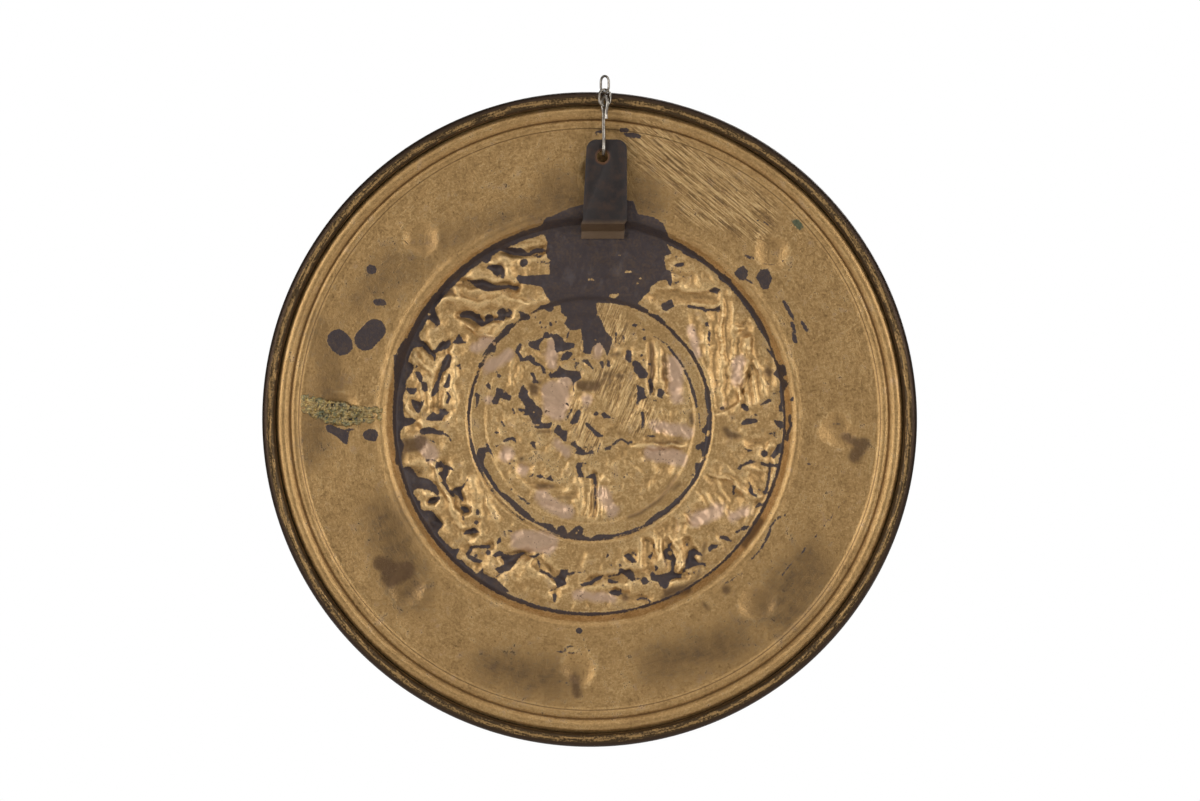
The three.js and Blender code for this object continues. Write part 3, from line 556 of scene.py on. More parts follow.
medallionMarks = """-50,58.4 -47.6,59.4 -45.4,58 -48.4,54.8 -49.4,52.8 -54.4,49 -57.8,45 -57.6,42 -60,38
-62.6,41.4 -65.6,38.4 -66,39.6 -60,48 -54.8,53 -53,55.6; -68.6,33 -67.4,35 -65.6,34.8 -64.6,33 -68,31.2;
0.8 -57.5,29.2; 1.2 -55.5,26.4; 0.9 -33.4,62.6; 0.9 -30.6,59.4; 0.8 -29.6,56.6; 0.8 -27,56.6; -25,60
-23.2,60 -23,57 -24.4,57.4; -38.2,45.6 -37,47.6 -33,48.6 -29,50.6 -27.6,53.4 -26,54.2 -25,52.4 -23,53
-23,50.4 -28.4,49.2 -31.4,45 -31,42.2 -35,43.4; -43.4,47 -42,46.8 -41.6,45.4 -43.4,41.6 -42.6,40 -40,37.4
-38.4,39.2 -36.6,39.8 -33.4,37.4 -33.4,35.8 -30,34.4 -27.6,31 -26.6,28 -29,27.6 -30,32.4 -34,33 -38,36
-42.6,35.2 -44.4,39 -46.4,41.4; -37,28.6 -34,29 -33,25 -31,22 -36,22 -35,25; -25.4,27 -24,29.6 -23,24.6;
-24,52 -20,52.6 -16.6,49.8 -15.6,47.6 -10,47 -8.6,45.8 -9.4,44.2 -14.4,42 -20,41.2 -21.6,42.4 -21.4,47.4;
0.5 -14,49.6 -12.8,53.6; 1 -24.2,59; 0.7 -20.8,59.9; -17,40 -14,41.8 -9.6,41 -10.6,39 -13.6,36.4
-18.6,35.6 -17.6,38.6; 0.9 -9.6,37; -24.6,25.4 -24,27.8 -20,30.4 -18.6,33 -16,31 -12,30 -6,29.6 -5,25.4
-9.6,22 -13,25.8; 0.7 -9,34 -6.6,34.6; 0.8 -8.6,32; -4,37 -1,36.8 2.2,32 2.8,30 -0.4,32.6 -5,35.6; 5.6,36
8.6,35.6 8.8,33.4 8,29.6; 10.6,37 12.6,36.4 12.6,31 10.4,32.6; 22.6,43.6 26,42.6 26,37 24.4,34 22,37.4;
0.6 16,53 16,47; 0.6 20.8,51 20.8,47.6; 0.4 18,50 18.2,46.6; 25.9,58.3 27.3,59.4 30,58.3 28.3,56.7
26.2,57.2; 0.9 27,52.5; 32.1,49.1 33.8,51.5 34.8,50.7 34.6,48; 0.5 31,55.6 34,55; 0.5 31,59.9 31.6,58.3;
0.4 27.3,49.9 30,49.4; 26,35 28,36.4 31,35 36,28 35,25.5 31,25 27,30; 35.1,33.9 37,35.8 38.1,33.6 37,32.3;
1 32.1,39.3; 0.8 33,36.6; 1.5 37,23.6; 27.3,24 30.5,20.8 33.8,19.1 34,14.8 35.4,13.2 31,11.5 29.4,7.7
28.6,9.4 29.1,14.2 28.9,20.8; 36.2,22.9 38.6,23.5 39.4,20.8 38.6,17 37,14.8; 41.9,18.9 43.5,19.4 47.8,15.6
45.7,16.4 44.6,12.6 41.3,14.2; 38.9,11.3 40.3,12.9 41.9,10.5; 0.9 32.3,4 33,-1 32.3,-5.5; -63.9,21
-62.5,22.4 -61.2,21 -60.4,18.3 -62,18; -70.7,15.9 -69.6,17 -67.4,14 -68.8,7.7 -70.1,6.7 -70.1,11.5;
-57.4,19.7 -51.7,18 -50.1,15.1 -47.9,14.5 -49,11 -51.7,11.8 -55.5,12.6 -56.3,9.1 -59.3,8.6 -60.6,11.3
-58.2,14.8; -40.9,22.4 -39.5,19.4 -37.1,17 -38.2,15.9 -37.1,13.2 -34.9,12.4 -32.7,8.3 -30,6.7 -29,4.5
-30,-1.5 -28.4,-2.5 -25.2,-2.5 -23,-1 -23,-3.1 -24.6,-5.8 -32.7,-6.1 -34.6,-3.6 -37.6,2.9 -39.8,1.8
-44.7,6.4 -43.6,7.2 -39.8,6.1 -40.3,8.8 -44.1,14 -43.6,16.4; 0.6 -47.2,6.3 -46.4,3.6; 0.6 -54.4,-1.5
-52.8,-4.2; -58.8,-8 -57,-7 -55.6,-8.2 -57,-9.2; 0.4 -51.2,-6.9 -51.4,-8.5; -58.2,-16.4 -54.4,-14.5
-52.2,-12 -49.5,-11.2 -45.5,-10.7 -45.2,-15 -48.5,-12.8 -53.3,-14.5 -57.7,-17.2; -37.1,-14.7 -35.5,-13.4
-33.6,-13.9 -33,-16.6 -31.1,-20.4 -33.8,-18.3; 0.5 -24.4,-23.9 -25.4,-25.6 -24.9,-26.7; 0.8 -46.3,-25.6;
0.8 -49.2,-27.3; 0.8 -47.1,-30; 0.9 -48.2,-43.2; 0.8 -44,-46.8 -42.5,-48.9 -40.3,-49.2 -38.7,-51.6
-37.4,-51.9; 0.5 -38,-35.5 -35.7,-35 -34.9,-33.6; 0.6 -34.4,-31; -32.7,-34.6 -30,-33.8 -27.3,-36.5
-23.8,-34.6 -23,-36.5 -18.7,-40 -22.2,-38.4 -27.3,-37 -31.7,-36.2; 0.5 -10.2,24 -9.8,17; 0.5 -16.2,8.3
-15.2,9.9 -13,8.6; 0.7 -11.1,6.4 -14.4,-0.4; -8.7,4.5 -6.5,6.7 -5.1,5.6 -7,-1.5 -10.3,-3.6 -12.5,-2.5; 1.5
3.8,3.4; 7,2.9 8.7,5 9.8,3.1 11.9,2.9 14.6,0.2 15.7,5 15.2,0.2 8.7,0.7; -20,-3.1 -17.9,-2.8 -17.3,-6.3
-13.3,-7.1 -14.4,-13.9 -15.7,-13.9 -22.2,-7.4 -21.7,-5.8; -3.2,-3.1 -2.2,-1.7 0,-2.5 4.3,-7.4 8.7,-9.6
8.7,-11.2 4.3,-10.7 0,-6.3; -12.7,-15 -8.7,-13.1 -7.6,-16.1 -5.4,-17.2 -2.2,-20.4 1.1,-18.8 2.7,-21
-2.7,-22 -9.7,-21.5 -8.1,-18.8; 0.5 4.9,-19.9 6.5,-15; 8.1,-18.3 9.8,-17.2 13.8,-16.1 13,-18.3 9.2,-19.3;
0.8 14.6,-15.3 19,-12.2 21.1,-12.8 23.8,-15 26,-13.9; 0.8 -2.4,-17.4; -8.7,-28.9 -7.3,-26.7 -0.5,-26.2
-4.3,-28.9 -5.4,-30.5 -3.2,-35.4 0.8,-33.8 3.5,-33.2 4.9,-39.7 3.8,-41.9 2.4,-40.8 1.6,-36.5 -7,-35.6; 0.6
3.3,-42.4 3.5,-48.9; 0.5 3.4,-50.5 3,-55.4; 0.6 1.9,-59.8; 0.5 -5.1,-46.2; 0.6 -4.3,-47.8; 0.5 -2.2,-50;
13.3,-32.7 16.3,-33.5 15.4,-34.6; 0.7 21.4,-35.4; 0.6 23,-33.5; 0.8 34,-25.6; 1.3 66,-27.8; 0.8 25,-14.5;
0.5 35.4,-10.1 40.2,-10.4; 0.5 67.3,3.4 67.9,-5.3; 0.5 62.5,-34.3 64.6,-33.8; 0.5 57,-36.7 59.8,-35.1; 0.5
39.2,51.5 47.3,46.1; 0.8 48.5,44.5 54.9,36.4 57.6,32.3; 1 58.6,30 61.4,23.6 64.4,14.2 65.7,8"""
stepMarks = """-70,-25 -65.2,-32.7 -62,-38.1 -58.7,-43.5 -54.4,-47.8 -49.5,-52.2 -44.7,-57 -39.8,-60.8
-33.8,-64.1 -28.4,-66.8 -21.7,-70.3 -11.9,-73.3 0,-74.6 11.9,-73.3 26,-69.2 35.9,-65.4 45.7,-58.7
54.9,-51.6 61.9,-42.4 66.8,-35.9 70,-27.3 71.7,-24 68.4,-26.2 64.9,-27.3 65.2,-33.2 60.8,-40.3 56.5,-45.7
51.1,-50.5 45.7,-55.4 41.9,-57 37,-60.8 33.8,-64.4 24,-68.4 14.1,-70.9 4.3,-70.9 1.1,-73 -4.6,-71.1
-3.5,-67.3 -6,-64.9 -11.4,-67.9 -13.8,-70.6 -14.6,-67.3 -16.2,-65.2 -19.5,-65.7 -20,-68.4 -23,-64.6
-30,-63.5 -36.3,-60 -36.3,-58.7 -44.1,-52.2 -50.6,-46.2 -54.4,-44.9 -58.7,-38.6 -64.7,-28.9 -65.2,-25
-64.2,-22.6 -64.2,-20.4 -61.5,-20.4 -59.8,-23.7 -58.7,-23.7 -60.4,-19.3 -62,-15 -63.9,-15 -64,-17
-69,-17.7; 72.2,3.4 74.4,2.9 74.4,-2 75.2,-8.5 73.8,-16.6 72.2,-21 69,-23.7 68.4,-18 66.8,-18.8 64.6,-17.7
65.7,-15.5 68.4,-13.9 70,-10.7 68.4,-6.3 71.1,-3.6; 70.6,24 73.3,19.7 74.4,14.2 74.9,7.7 74.4,2.9 72.2,3.4
70.6,14.2; 1.5 26,69.8 30,69.3 35,66.4; 1.2 39.2,64.2 41.9,62.9 45.7,59.6; 0.8 48.4,56.7 51,54; 1.2
51.1,53.7 56,48.3 58.7,45.3; 0.7 61.9,42.6 64.1,39.3 66.8,33.9 69,30.1 71.1,24"""
borderMarks = """3.2 -133,92; 6.6 -154,49 -151,46; 6.8 -137,49 -131,55; 2.2 -130,72 -126,72; 94,102 97,101
101.3,99.6 101,97.6 96,99; 0.4 101.5,122 107,121.4 109.5,118.5; 94,95 97,91.5 97,88 93.4,84.6 90,87.6
88,90; 0.7 96,86 99.6,84; 101.6,87.4 103.4,90 104,92 110,92.4 112,86 110.4,82.6 109,80 105.6,79.4
103.8,84; 0.5 111,80 112.6,77 115,74.4; 118,73.4 120,74 120,69; 1.3 119,73 124,63; 1.5 124,59 126,48; 1.2
130,60 134,54; 1.2 4,175 8,176; 1.4 20,177 23,177; 1.6 23,174 31,173; 0.8 111,-67 105,-80 99,-85; 0.6
96,-91 89,-97 83,-100; 0.6 156,-49 135,-75 118,-95; -162,-3 -158,-3 -153,-5 -149,-6 -146,-4.5 -140,-3.5
-141,-5 -147,-7 -148,-15 -150,-15.6 -153,-12 -157,-9 -161,-7; -139,-8.5 -136.5,-6 -133,-5.4 -129.6,-6.5
-129,-10 -131,-13.4 -134.5,-13 -138,-11.5; 2.2 -6,-129; 0.8 134,-26 140,-27; 0.5 -14,-139.6 -11,-138.2
-7.6,-138.4 -6,-140 -7,-142.4 -10,-143.4 -13,-142.4 -14,-139.6; 0.8 -19,-142 -16,-141 -15,-143; 0.4
-18,-161 -15.6,-159.6 -13.6,-161 -15,-163 -18,-161; 0.5 -3,-139 0,-141 1.5,-143.5; 0.5 146,-4 150,-2.4
153,-2.2; 0.4 -115.3,119 -114.5,113.5 -111.5,108.4 -105,104.6 -97.5,103; 0.4 107,95.2 113,95 119,98"""
blotMarks = """-30,117 -27.5,112 -25.8,109.5 -26.2,105.5 -27.3,103.3 -25.4,99 -23.2,97.2 -24.6,94 -24.4,89
-30,89 -40,88.2 -44,88.8 -45,86 -43,83.5 -38,82.8 -29.6,81.4 -26.2,75.3 -22.8,70.8 -18,70.2 -17.3,64.8
-13,62.6 -16,59.1 -11.9,54.8 -9.2,54.5 -5.1,55.6 -4.9,50.7 -6,41.5 0,39.6 1.9,44.2 6,47.5 9.2,43.1
10.8,38.2 13.8,46.9 14.4,49.6 10.3,54 7.6,60.5 4.9,65.9 3.8,73 2.5,75 6.6,76.9 12.5,75 12.8,77.2 18,76.9
15.6,73.8 22.5,70.3 30,71.3 33.4,75.6 37.2,78.7 37.4,81 42.3,85 46.6,85.6 49.8,81 51,84.5 50,91.3 47.2,92
46.3,97 46,100.2 50.6,101.4 47.2,108.5 50,109.4 47.2,116.6 45.5,120 40,124 30,126 27,134 10,136 -10,130
-20,126 -27,123"""
bareMarks = """0.7 -98.5,64.5; 0.6 -55,88.5; 0.8 -50.6,67; 1.5 -92,-31; 1.3 -98,-28.5; 1.3 49.2,-82.2; 0.8
-58.4,46.6; 0.9 -60,40.6; 0.6 -52.8,16.7; 0.6 -40.6,4; 0.6 -34.4,4.2; 0.6 -32.6,-3.6 -31.6,-3.6; 1
-42.8,10.2; 0.8 -33,-62.3; 0.7 -7,-68.1; 0.6 -8.1,-70; 0.7 73,-7.4 72.4,-10; 0.6 70,-13 70.4,-9; 0.7
-3.8,-27.5; 0.6 18.8,100.6; 0.6 22.6,90.6 25.4,90.6; 0.6 31.2,86.6; 0.7 29.5,83.5; 0.6 -0.4,85.8 2.2,85.8;
0.6 3.7,48.8; 0.5 4.9,64.2; 0.5 -4.6,41 -4.6,49"""
# Darker brown film, and painted shadow along some lines and bands in the medallion.
filmAndShadowMarks = """-116,-12 -107,-11 -104,-9 -99.5,-10.5 -100.4,-16.4 -103.4,-19.4 -109,-20.4 -113,-21
-115.6,-26 -118,-26; -90,81 -84,81 -82.5,77 -90,75; 2.5 22,-110; 3 48,-106 60,-104; 3 84,-103.5; 1.5
70,-112 73,-115; 107.6,33.6 112.4,31 113.4,28.4 110.4,26 107,27; 0.9 106.5,-6.4; 81,-4 85.6,-4.4 86.2,-6.6
93,-9 94,-10.4 91.6,-12 84.6,-11.6 81.6,-6; 12.6,39 17,38 19.6,40.6 16.4,42.4; 1.5 17,26.8 19,26.8; 1
6.5,30 6.5,23; 1 9,30 9,22; 1 12,30 12,23; -37.6,21.8 -33.8,22.4 -31.1,19.7 -31.7,14.2 -37.1,14.8;
-35.5,24 -31,20.5 -28.5,24; -9.7,24 7.6,24 6.5,17.5 -2.7,16.7 -8.1,18.6; 2 -42,-24.5; 1.5 -32,-41.5
-23,-41.5; 1 -20,-48.5 -12,-48.5; 1 -32,-7.6 -23,-7.6; 1 18,-9; 1 40,-14.4 57,-13.9; 1 71,-76 66,-99; 1.6
64,-100 45,-110; 1.3 53.3,-34.8 50,-40.3 42,-50 30.5,-58 24,-60; 1 55.4,-39.7 51.6,-43; 1.6 63,-2 62.4,3;
3 157,-10 168,-16; 4 162,-22 168,-14; 3 -9,-158 -7,-168; 5 -128,-88 -116,-94; 6 -122,-97 -112,-92; 0.8
147,-3.4 153,-2.2; 1.5 38.2,46 38.2,24; 1.2 45.6,40 45.6,24; 2.5 105,-62 95,-76"""
# Pale patches: wear, and painted highlights on domes in the medallion, in the same pale colour.
wornAndHighlightMarks = """-30,20 -26,24 -13,22 -12,8 -16,0 -24,-1 -29,6; 4 -23,46 -23,34; 3.5 5,44 5,40; 3 -16,24
-11,24; 5 -30,-48 -24,-53 -14,-57; 5 -51,-22; 4 -41,-31; 4 -2,12.6; 48,24 48,40 56,40 58,24 58,10 50,8; 3
-62,12; 3 -20,-14 -14,-22; 7 -42,-74 -26,-76; 4 -70,44 -62,48; 4 -62,32 -50,40; 5 38,-20 56,-24; 4 40,-4
60,-8; 5 66,-62 78,-56; 3 88,-60 96,-56; 5 -103,-15 -97,-22; 4 8,-45 14,-56; 4 90,24 92,36; 3 62,56 66,40;
3 -8,-108 14,-110"""

# Corners of the sheet, where residue gathers: degrees clockwise from the top, and half its width there.
wallCorner = [(0, 3), (25, 2.2), (40, 1.4), (52, 1.7), (62, 2.0), (68, 0.8), (90, 0.8), (110, 1.1),
              (130, 0.9), (150, 0.7), (180, 1.0), (205, 1.4), (225, 1.6), (260, 1.2), (280, 1.6), (292, 3.0),
              (320, 2.6), (360, 3)]
stepCorner = [(0, 3), (20, 1.0), (90, 0.8), (120, 0.4), (200, 0.4), (240, 0.5), (254, 1.2), (262, 0.7),
              (277, 0.9), (287, 1.0), (300, 0.6), (330, 0.4), (342, 1.5), (360, 3)]


def cornerField(radius, widths):
    degrees = np.degrees(np.arctan2(gridX, gridZ)) % 360
    angles, half = np.array(widths).T
    return np.interp(degrees, angles, half) - np.abs(gridRadius - radius)


# Soft dark patches: soot round the strap's foot, and painted shade beside the strap and over broad parts of
# the border.
sootAndShadeMarks = """15 -2,124 16,122; 9 -13,140 -9,124; 10 34,142 36,128; 6 -20,152 -30,130; 7 -60,120
-20,128; 6 -95,108 -60,122; 5 -116,80 -100,98; 12 -60,-150 -20,-160; 14 -125,-60 -110,-105; 12 40,-150
90,-135; 9 -170,-20 -160,20; 10 140,-90 120,-125; 8 -140,70 -120,100; 7 -168,60 -155,30; 9 105,-115
135,-80"""
brushMarks = "17 36,168 60,152 90,134 100,124; 9 60,130 80,122"
scratchMarks = "14 14,24 30,2; 9 10,70 18,52; 8 -8,6 0,-16"
greenMarks = "2.4 126,121 128.5,118; 1 45.7,-50.5"


def marked(text, start, end, soft):
    return softened(fade(depthField(marksIn(text)), start, end), soft)


# The grid's fields that shape and colour the dish.
def dishFields():
    d = dish
    inBand = fade(gridRadius, d["stepTop"], 81) * fade(gridRadius, d["wallFoot"], 115)
    inScene = fade(gridRadius, d["medallionRadius"] - 1, 58)
    onBorder = fade(gridRadius, d["borderInner"] - 2, d["borderInner"] + 2)
    shift = [0.6 * lumps(9, seed) for seed in (21, 22)]
    groups = (temple, robedFigure, seatedFigure, walkers, hills, leaningFigure, tree, clouds)
    figures = formField(sum([group() for group in groups], []), *shift) * inBand
    figures += formField(medallionScene(), *shift) * inScene + formField(bosses(), *shift) * onBorder

    inHollows = depthField(marksIn(";".join((
        cloudMarks, treeMarks, leaningMarks, hillMarks, walkerMarks, seatedMarks, robedMarks, templeMarks,
        medallionMarks))))
    pressed = softened(fade(inHollows, -0.4, 0.8), 0.8)
    relief = figures + pressed * (1.1 * inBand + 0.6 * inScene)
    relief += (inBand + inScene) * (0.2 * lumps(7, 3) + 0.13 * lumps(3.2, 4))
    relief += fade(gridRadius, 190, 178) * (0.12 * lumps(24, 5) + 0.06 * lumps(7, 6))

    residue = np.maximum.reduce([
        inHollows, depthField(marksIn(";".join((stepMarks, borderMarks, blotMarks)))),
        cornerField(d["wallFoot"] + 0.2, wallCorner), cornerField(d["stepFoot"] + 0.9, stepCorner),
    ])
    residue = np.minimum(residue, -depthField(marksIn(bareMarks)))
    # standing is how far a point stands out from its surroundings; the back's tone uses it for painted
    # highlight on raised parts and painted shade in hollows, along with rubbing
    return {
        "relief": relief, "softRelief": softened(relief, 1.0), "height": softened(figures, 1.0),
        "residue": residue,
        "standing": softened(relief, 2.2) - relief, "filmedAndShaded": marked(filmAndShadowMarks, -1, 1.5, 0.5),
        "wornOffAndHighlit": marked(wornAndHighlightMarks, -1, 2, 1.2), "sootedAndShaded": marked(sootAndShadeMarks, -6, 6, 6),
        "dryBrush": marked(brushMarks, -1, 5, 2), "scratched": marked(scratchMarks, -1, 3, 1.5),
        "green": marked(greenMarks, -1, 1, 0.8),
    }


dishField = dishFields()


def setField(piece, name, values):
    field = piece.data.attributes.new(name, "FLOAT", "POINT")
    field.data.foreach_set("value", np.asarray(values, np.float32))


def makeDish():
    back, front = dishRings()
    rings = back + front
    starts = np.concatenate([[0], np.cumsum([count for _, _, count in rings])])
    corners = []
    for radius, y, count in rings:
        turns = np.arange(count) * 2 * math.pi / count
        corners.append(np.stack([radius * np.sin(turns), np.full(count, y), radius * np.cos(turns)], 1))
    poles = [[0, back[0][1], 0], [0, front[-1][1], 0]]
    x, y, z = np.concatenate(corners + [poles]).T

    faces = []
    for k in range(len(rings) - 1):
        faces += facesBetween(starts[k], rings[k][2], starts[k + 1], rings[k + 1][2])
    for pole, k in ((starts[-1], 0), (starts[-1] + 1, len(rings) - 1)):
        count = rings[k][2]
        faces += [(pole, starts[k] + i, starts[k] + (i + 1) % count) for i in range(count)]

    isFront = np.arange(len(x)) >= starts[len(back)]
    isFront[starts[-1]] = False
    y = y + np.where(isFront, sampled(dishField["softRelief"], x, z), sampled(dishField["relief"], x, z))
    y = np.clip(y, dish["restDepth"], (cadBox[1][1] - dishMiddle.y) / mm)
    moved = np.stack([x, y, z], 1) * mm + np.array(dishMiddle)
    piece = newPiece("embossed_dish", moved, faces=[tuple(int(i) for i in face) for face in faces])
    for name, field in dishField.items():
        if name in ("relief", "softRelief"):
            continue
        values = sampled(field, x, z)
        if name != "height":
            values = np.where(isFront, -6 if name == "residue" else 0, values)
        setField(piece, name, values)
    setField(piece, "front", isFront)
    bpy.ops.object.mode_set(mode="EDIT")
    bpy.ops.mesh.select_all(action="SELECT")
    bpy.ops.mesh.normals_make_consistent(inside=False)
    bpy.ops.object.mode_set(mode="OBJECT")
    bpy.ops.object.shade_smooth_by_angle(angle=math.radians(60))
    print("dish:", sum(len(p.vertices) - 2 for p in piece.data.polygons), "triangles")
    return piece


def addNode(tree, kind, settings=None, inputs=None, out=0):
    made = tree.nodes.new(kind)
    for key, value in (settings or {}).items():
        setattr(made, key, value)
    for key, value in (inputs or {}).items():
        if isinstance(value, bpy.types.NodeSocket):
            tree.links.new(value, made.inputs[key])
        else:
            made.inputs[key].default_value = value
    return made.outputs[out]


def newMaterial(name):
    material = bpy.data.materials.new(name)
    material.use_nodes = True
    tree = material.node_tree
    return material, tree, tree.nodes["Principled BSDF"]


# How many times a pattern of this size in millimetres repeats in a metre.
def perMetre(size):
    return 1 / (size * mm)


# Where a point lies on the dish, from its middle, for a material's patterns.
def fromDishMiddle(tree):
    coordinates = addNode(tree, "ShaderNodeTexCoord", out=3)
    return addNode(tree, "ShaderNodeMapping", {"vector_type": "POINT"},
                   {"Vector": coordinates, "Location": -dishMiddle})


# Fine lines at a slope: noise turned, squeezed across the lines and drawn out along them.
def slopedLines(tree, where, turn, width, length):
    turned = addNode(tree, "ShaderNodeVectorRotate", {"rotation_type": "AXIS_ANGLE"},
                     {"Vector": where, "Axis": (0, 1, 0), "Angle": math.radians(turn)})
    drawn = addNode(tree, "ShaderNodeVectorMath", {"operation": "MULTIPLY"},
                    {0: turned, 1: (1, 1, width / length)})
    return addNode(tree, "ShaderNodeTexNoise", None,
                   {"Vector": drawn, "Scale": perMetre(width), "Detail": 2, "Roughness": 0.55})


bronzeLook = {
    "deep": "#5A452C", "brown": "#8B6D45", "gold": "#B18D5B", "bright": "#DDBB85", "wornAndHighlight": "#C4A48A",
    "residue": "#382D2D", "residueBrown": "#4B3A2E", "filmAndShadow": "#644C36", "sootAndShade": "#56422F",
    "speck": "#453528", "rim": "#4A3A26", "rimEdge": "#3B2C20", "verdigris": "#3F5B4C",
    "patina": "#4A3A2E", "patinaDeep": "#352A23", "rubbed": "#A8875A",
    # sizes in millimetres, with the noise's detail and roughness
    "grain": (1.4, 3, 0.65), "fineGrain": (0.6, 2, 0.6), "mottle": (7, 4, 0.6), "cloud": (34, 3, 0.55),
    "coarse": (4.5, 3, 0.6), "ragged": (1.3, 3, 0.65), "brush": 1.1,
    # degrees from upright, and the width and length of the lines
    "scratchLines": (-22, 0.9, 14), "brushLines": (50, 0.9, 16),
    "rimCrest": 195.0, "creases": (183.2, 177.9),
}


# Embossed bronze: golden metal dulled by handling, hammered, brushed round, with old dark residue that
# keeps crisp edges in the hollows. The front has a brown patina, rubbed bare on what stands out.
def embossedBronze():
    look = bronzeLook
    material, tree, shader = newMaterial("embossedBronze")
    where = fromDishMiddle(tree)
    flat = addNode(tree, "ShaderNodeVectorMath", {"operation": "MULTIPLY"}, {0: where, 1: (1, 0, 1)})
    radius = addNode(tree, "ShaderNodeVectorMath", {"operation": "LENGTH"}, {0: flat}, out=1)
    radius = addNode(tree, "ShaderNodeMath", {"operation": "DIVIDE"}, {0: radius, 1: mm})
    outwards = addNode(tree, "ShaderNodeVectorMath", {"operation": "NORMALIZE"}, {0: flat})

    # streaks that run round the dish
    around = addNode(tree, "ShaderNodeVectorMath", {"operation": "SCALE"}, {0: outwards, "Scale": 16})
    across = addNode(tree, "ShaderNodeMath", {"operation": "DIVIDE"}, {0: radius, 1: look["brush"]})
    across = addNode(tree, "ShaderNodeCombineXYZ", None, {"Y": across})
    polar = addNode(tree, "ShaderNodeVectorMath", {"operation": "ADD"}, {0: around, 1: across})
    value = {"streaks": addNode(tree, "ShaderNodeTexNoise", None,
                                {"Vector": polar, "Scale": 1, "Detail": 3, "Roughness": 0.6})}
    for name in ("grain", "fineGrain", "mottle", "cloud", "coarse", "ragged"):
        size, detail, roughness = look[name]
        value[name] = addNode(tree, "ShaderNodeTexNoise", None,
                              {"Vector": where, "Scale": perMetre(size), "Detail": detail,
                               "Roughness": roughness})
    for name in ("residue", "standing", "filmedAndShaded", "wornOffAndHighlit", "sootedAndShaded", "dryBrush", "scratched", "green",
                 "front", "height"):
        value[name] = addNode(tree, "ShaderNodeAttribute", {"attribute_name": name}, out=2)
    value["radius"] = radius
    value["inside"] = addNode(tree, "ShaderNodeMath", {"operation": "LESS_THAN"},
                              {0: radius, 1: dish["wallTop"]})

    # scratches at a steep slope, and lines brushed across the border at the upper right
    for name, lines, field in (("scratch", "scratchLines", "scratched"),
                               ("brushed", "brushLines", "dryBrush")):
        drawn = slopedLines(tree, where, *look[lines])
        drawn = addNode(tree, "ShaderNodeMath", {"operation": "SUBTRACT"}, {0: drawn, 1: 0.5})
        value[name] = addNode(tree, "ShaderNodeMath", {"operation": "MULTIPLY"}, {0: drawn, 1: value[field]})

    # how far a point lies from the rim's crest and from the creases beside the beads
    for name, middle in (("fromCrest", look["rimCrest"]), ("fromOuter", look["creases"][0]),
                         ("fromInner", look["creases"][1])):
        offset = addNode(tree, "ShaderNodeMath", {"operation": "SUBTRACT"}, {0: radius, 1: middle})
        value[name] = addNode(tree, "ShaderNodeMath", {"operation": "ABSOLUTE"}, {0: offset})

    # what the layers go by: a first amount, and each pattern's share
    for name, total, shares in (
        # the tone's share of standing paints highlight on raised parts and shade in hollows, partly as rubbing
        ("tone", -0.35, (("grain", 1.5), ("mottle", 0.9), ("streaks", 0.5), ("cloud", 0.5), ("standing", 0.4),
                         ("inside", 0.12))),
        # the pale layer is wear and painted highlight
        ("wornAndHighlight", 0, (("wornOffAndHighlit", 1), ("mottle", 1.6))),
        ("lines", 0, (("scratch", 2.2), ("brushed", 2.4))),
        # the soot layer is soot and painted shade
        ("sootAndShadeAmount", 0, (("sootedAndShaded", 1), ("mottle", 1.6), ("streaks", 0.8), ("grain", 1.0))),
        ("specks", 0, (("grain", 1), ("cloud", 0.3), ("mottle", 0.5))),
        # the film layer is film and painted shadow
        ("filmAndShadow", 0, (("filmedAndShaded", 1), ("grain", 1.2))),
        ("rim", 0, (("radius", 1), ("streaks", 1.5))),
        ("flecks", 0, (("grain", 1), ("streaks", 1.4), ("fromCrest", -0.16))),
        ("verdigris", 0, (("green", 1), ("ragged", 1))),
        ("edge", -1.6, (("residue", 1), ("coarse", 1.6), ("ragged", 1.6))),
        ("rubbed", 0, (("height", 1), ("mottle", 1.6))),
    ):
        for part, share in shares:
            total = addNode(tree, "ShaderNodeMath", {"operation": "MULTIPLY_ADD"},
                            {0: value[part], 1: share, 2: total})
        value[name] = total

    # each colour lies over those before it, where its value goes from the first bound to the second
    def layered(colour, layers):
        for name, start, end, most, over in layers:
            amount = addNode(tree, "ShaderNodeMapRange", None,
                             {"Value": value[name], "From Min": start, "From Max": end, "To Max": most})
            colour = addNode(tree, "ShaderNodeMix", {"data_type": "RGBA"},
                             {0: amount, 6: colour, 7: linear(look[over])}, out=2)
        return colour

    back = layered(linear(look["brown"]), (
        ("tone", 0.85, 1.35, 1, "gold"), ("tone", 1.4, 1.9, 1, "bright"), ("tone", 0.95, 0.55, 1, "deep"),
        ("wornAndHighlight", 0.95, 1.6, 0.85, "wornAndHighlight"), ("lines", 0.02, 0.35, 0.8, "bright"),
        ("lines", -0.02, -0.35, 0.75, "filmAndShadow"), ("sootAndShadeAmount", 1.9, 2.9, 0.8, "sootAndShade"),
        ("specks", 1.06, 1.14, 0.8, "speck"), ("filmAndShadow", 0.75, 1.5, 0.85, "filmAndShadow"),
        ("rim", 191.9, 193.1, 1, "rim"), ("flecks", 1.0, 1.25, 0.9, "gold"),
        ("radius", 196.6, 197.6, 1, "rimEdge"),
        ("fromOuter", 0.7, 0.2, 0.7, "deep"), ("fromInner", 0.5, 0.15, 0.7, "deep"),
        ("verdigris", 0.9, 1.2, 0.8, "verdigris"),
    ))
    patina = layered(linear(look["patinaDeep"]), (
        ("tone", 0.8, 1.5, 1, "patina"), ("rubbed", 1.6, 4.2, 0.8, "rubbed")))

